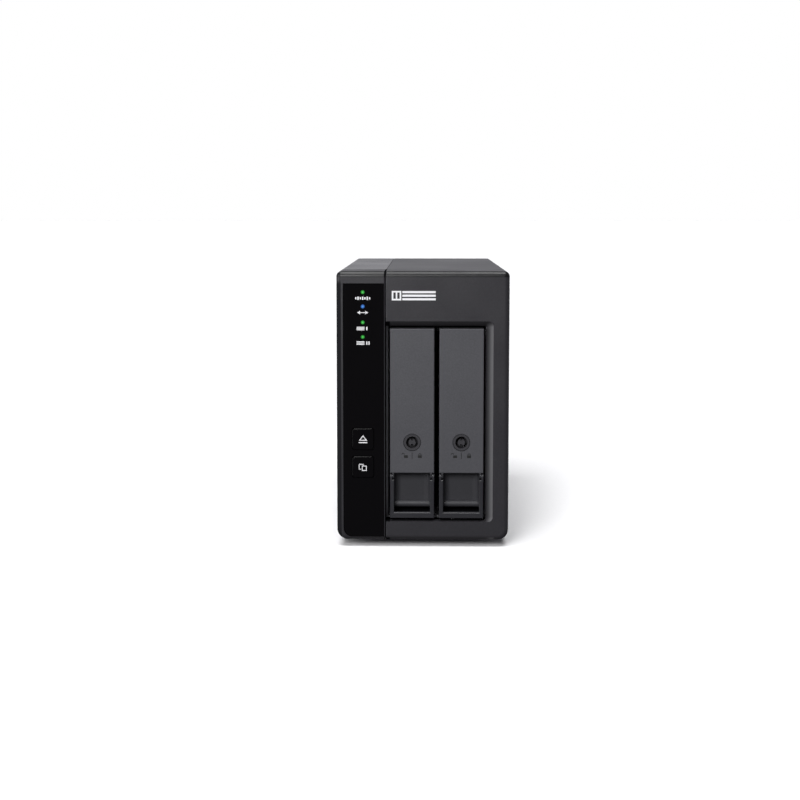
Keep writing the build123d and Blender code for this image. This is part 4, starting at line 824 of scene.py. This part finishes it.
def label_lines(mesh):
    bar(mesh, -19.0, 30.0, 18.0, 9.0)
    for row in range(7):
        bar(mesh, -2.0, 16.0 - row * 6.5, 52.0 - (row % 3) * 9.0, 1.1)
    hollow(mesh, bar(mesh, 17.0, -31.0, 22.0, 10.0), 0.6)


def left_face(node):
    """The middle of a node's left face."""
    low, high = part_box(node)
    return Vector((low.x, (low.y + high.y) / 2, (low.z + high.z) / 2))


LABEL_SHIFT = Vector((0.0, -18.0 * MM, 0.0))
for bay in ("1", "2"):
    spot = left_face("drive_lid_" + bay) + LABEL_SHIFT
    printed("drive_label_" + bay, label_sheet, spot, label_paper, "tray_" + bay,
            turn=-math.pi / 2)
    printed("drive_label_lines_" + bay, label_lines, spot - Vector((INK_DEPTH, 0.0, 0.0)), dark_ink,
            "tray_" + bay, turn=-math.pi / 2)

# %% [markdown]
# A chip is a low block of black resin with its upper edges bevelled by the mould, on two rows of tinned
# legs. Each chip starts as a cube from the create operator, is stretched, and has its edges bevelled. The
# chips of a drive are thin and sit half sunk, because a drive has no room beside its board.

# %% Chips
def block_on_side(mesh, along, up, across, long, tall, edge=0.0):
    """A block that stands out from a side board: along Y, up Z and across X, in millimetres."""
    place = Matrix.Translation((across / 2 * MM, along * MM, up * MM))
    size = Matrix.Diagonal((across * MM, long * MM, tall * MM, 1.0))
    made = bmesh.ops.create_cube(mesh, size=1.0, matrix=place @ size)
    if edge:
        edges = list({e for v in made["verts"] for e in v.link_edges})
        bmesh.ops.bevel(mesh, geom=edges, offset=edge * MM, segments=2, profile=0.5, affect="EDGES",
                        material=-1)


def chip_bodies(layout, thickness=1.2):
    def draw(mesh):
        for along, up, long, tall in layout:
            block_on_side(mesh, along, up, thickness, long, tall, 0.15)
    return draw


def chip_legs(layout):
    def draw(mesh):
        for along, up, long, tall in layout:
            count = int(long / 1.3)
            for leg in range(count):
                reach = along + (leg - (count - 1) / 2) * 1.3
                for side in (-1, 1):
                    block_on_side(mesh, reach, up + side * (tall / 2 + 0.4), 0.3, 0.5, 1.1)
    return draw


def side_piece(name, draw, middle, finish, body, face=1.0):
    """Sets blocks on the right face of a board, or on its left face with a face of -1."""
    mesh = bmesh.new()
    draw(mesh)
    bmesh.ops.scale(mesh, verts=mesh.verts, vec=(face, 1.0, 1.0))
    bmesh.ops.translate(mesh, verts=mesh.verts, vec=middle)
    bmesh.ops.recalc_face_normals(mesh, faces=mesh.faces)
    piece_from(name, mesh, finish, body)


resin = moulded("chip_resin", (0.016, 0.016, 0.018), 0.5, pit=0.2 * MM, depth=0.01 * MM)
tin = turned_metal("tinned_legs", (0.60, 0.60, 0.60), (0.75, 0.75, 0.74), 0.25)
DRIVE_CHIP_THICKNESS = 0.25
DRIVE_CHIP_SINK = 0.15 * MM
DRIVE_CHIPS = ((-20.0, 4.0, 14.0, 14.0), (-26.0, -26.0, 12.0, 8.0), (-14.0, 32.0, 9.0, 6.0),
               (-38.0, 34.0, 6.0, 5.0), (12.0, -14.0, 10.0, 7.0), (20.0, 18.0, 8.0, 5.0))
for bay in ("1", "2"):
    low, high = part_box("drive_board_" + bay)
    middle = Vector((high.x - DRIVE_CHIP_SINK, (low.y + high.y) / 2, (low.z + high.z) / 2))
    side_piece("drive_chips_" + bay, chip_bodies(DRIVE_CHIPS, DRIVE_CHIP_THICKNESS), middle, resin,
               "tray_" + bay)

MAIN_CHIPS = ((-22.0, 40.0, 9.0, 7.0), (-40.0, -8.0, 12.0, 10.0), (50.0, 12.0, 8.0, 6.0),
              (40.0, -35.0, 10.0, 6.0))
main_left = left_face("main_board")
side_piece("main_chips", chip_bodies(MAIN_CHIPS), main_left, resin, "root", face=-1.0)
side_piece("main_chip_legs", chip_legs(MAIN_CHIPS), main_left, tin, "root", face=-1.0)
print("chips on", len(DRIVE_CHIPS) * 2 + len(MAIN_CHIPS), "places")

# %% [markdown]
# The back needs its marks too, because it is where a user reaches blindly: a round plug mark at the power
# jack, a double arrow at the data socket, one or two strokes beside the mode sliders, a small ring beside
# the set button, and the line and circle of a power switch on the two halves of the rocker.

# %% Rear marks
PANEL_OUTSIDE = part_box("rear_panel")[1].y


def behind(node, across=0.0, up=0.0):
    """A place on the outside of the rear panel beside a node. Across is to the right, seen from behind."""
    low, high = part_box(node)
    return Vector(((low.x + high.x) / 2 - across * MM, PANEL_OUTSIDE, (low.z + high.z) / 2 + up * MM))


def jack_mark(mesh):
    hollow(mesh, disc(mesh, 0.0, 0.0, 1.5), 0.35)
    disc(mesh, 0.0, 0.0, 0.55)
    bar(mesh, 2.6, 0.0, 1.6, 0.35)
    bar(mesh, -2.6, 0.0, 1.6, 0.35)


def ring_mark(mesh):
    hollow(mesh, disc(mesh, 0.0, 0.0, 1.1), 0.35)


def step_mark(count):
    def draw(mesh):
        for tick in range(count):
            bar(mesh, (tick - (count - 1) / 2) * 0.9, 0.0, 0.4, 1.9)
    return draw


for mark_name, draw_mark, spot in (
        ("jack_mark", jack_mark, behind("dc_jack", up=8.5)),
        ("data_mark", link_mark, behind("data_socket", up=8.0)),
        ("mode_1_mark", step_mark(1), behind("mode_slider_1", across=-4.5, up=1.0)),
        ("mode_2_mark", step_mark(2), behind("mode_slider_2", across=-4.5, up=1.0)),
        ("set_mark", ring_mark, behind("set_button", across=-4.8))):
    printed(mark_name, draw_mark, spot, white_ink, "root", turn=math.pi)


def on_mark(mesh):
    bar(mesh, 0.0, 0.0, 0.5, 2.6)


def off_mark(mesh):
    hollow(mesh, disc(mesh, 0.0, 0.0, 1.5), 0.45)


def rocker_half(upper):
    """The middle of the flat on one half of the rocker, and how far that flat leans back."""
    rocker = bpy.data.objects["power_rocker"]
    low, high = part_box("power_rocker")
    middle = (low.z + high.z) / 2
    faces = [f for f in rocker.data.polygons if f.normal.y > 0.9 and (f.center.z > middle) == upper]
    largest = max(f.area for f in faces)
    faces = [f for f in faces if f.area > 0.7 * largest]
    area = sum(f.area for f in faces)
    spot = sum((f.center * f.area for f in faces), Vector()) / area
    return spot, math.atan2(faces[0].normal.z, faces[0].normal.y)


for mark_name, draw_mark, upper in (("on_mark", on_mark, True), ("off_mark", off_mark, False)):
    spot, lean = rocker_half(upper)
    printed(mark_name, draw_mark, spot, white_ink, "power_rocker", turn=math.pi, lean=lean)
    print(mark_name, "leans", round(math.degrees(lean), 1), "degrees")

# %% [markdown]
# Last comes the floor, one wide pale disc, softly uneven like seamless paper. It isn't part of the
# object. Its glare would grey the black front, so it doesn't light the box.

# %% Floor
def paper_floor(radius):
    finish = new_finish("seamless_paper", (0.93, 0.93, 0.94), 0.9, shine=0.1)
    fibre = noise(finish, 3 * MM, detail=5.0)
    drift_colour(finish, fibre.outputs["Fac"], (0.92, 0.92, 0.93), (0.94, 0.94, 0.95))
    relief(finish, fibre.outputs["Fac"], 0.02 * MM)
    mesh = bmesh.new()
    bmesh.ops.create_circle(mesh, cap_ends=True, segments=96, radius=radius)
    bmesh.ops.translate(mesh, verts=mesh.verts, vec=(0.0, 0.0, CAD_LOW.z))
    data = bpy.data.meshes.new("paper_floor")
    mesh.to_mesh(data)
    mesh.free()
    data.materials.append(finish)
    floor = bpy.data.objects.new("paper_floor", data)
    bpy.context.collection.objects.link(floor)
    floor.visible_diffuse = False
    floor.visible_glossy = False


FLOOR_RADIUS = 40.0
paper_floor(FLOOR_RADIUS)
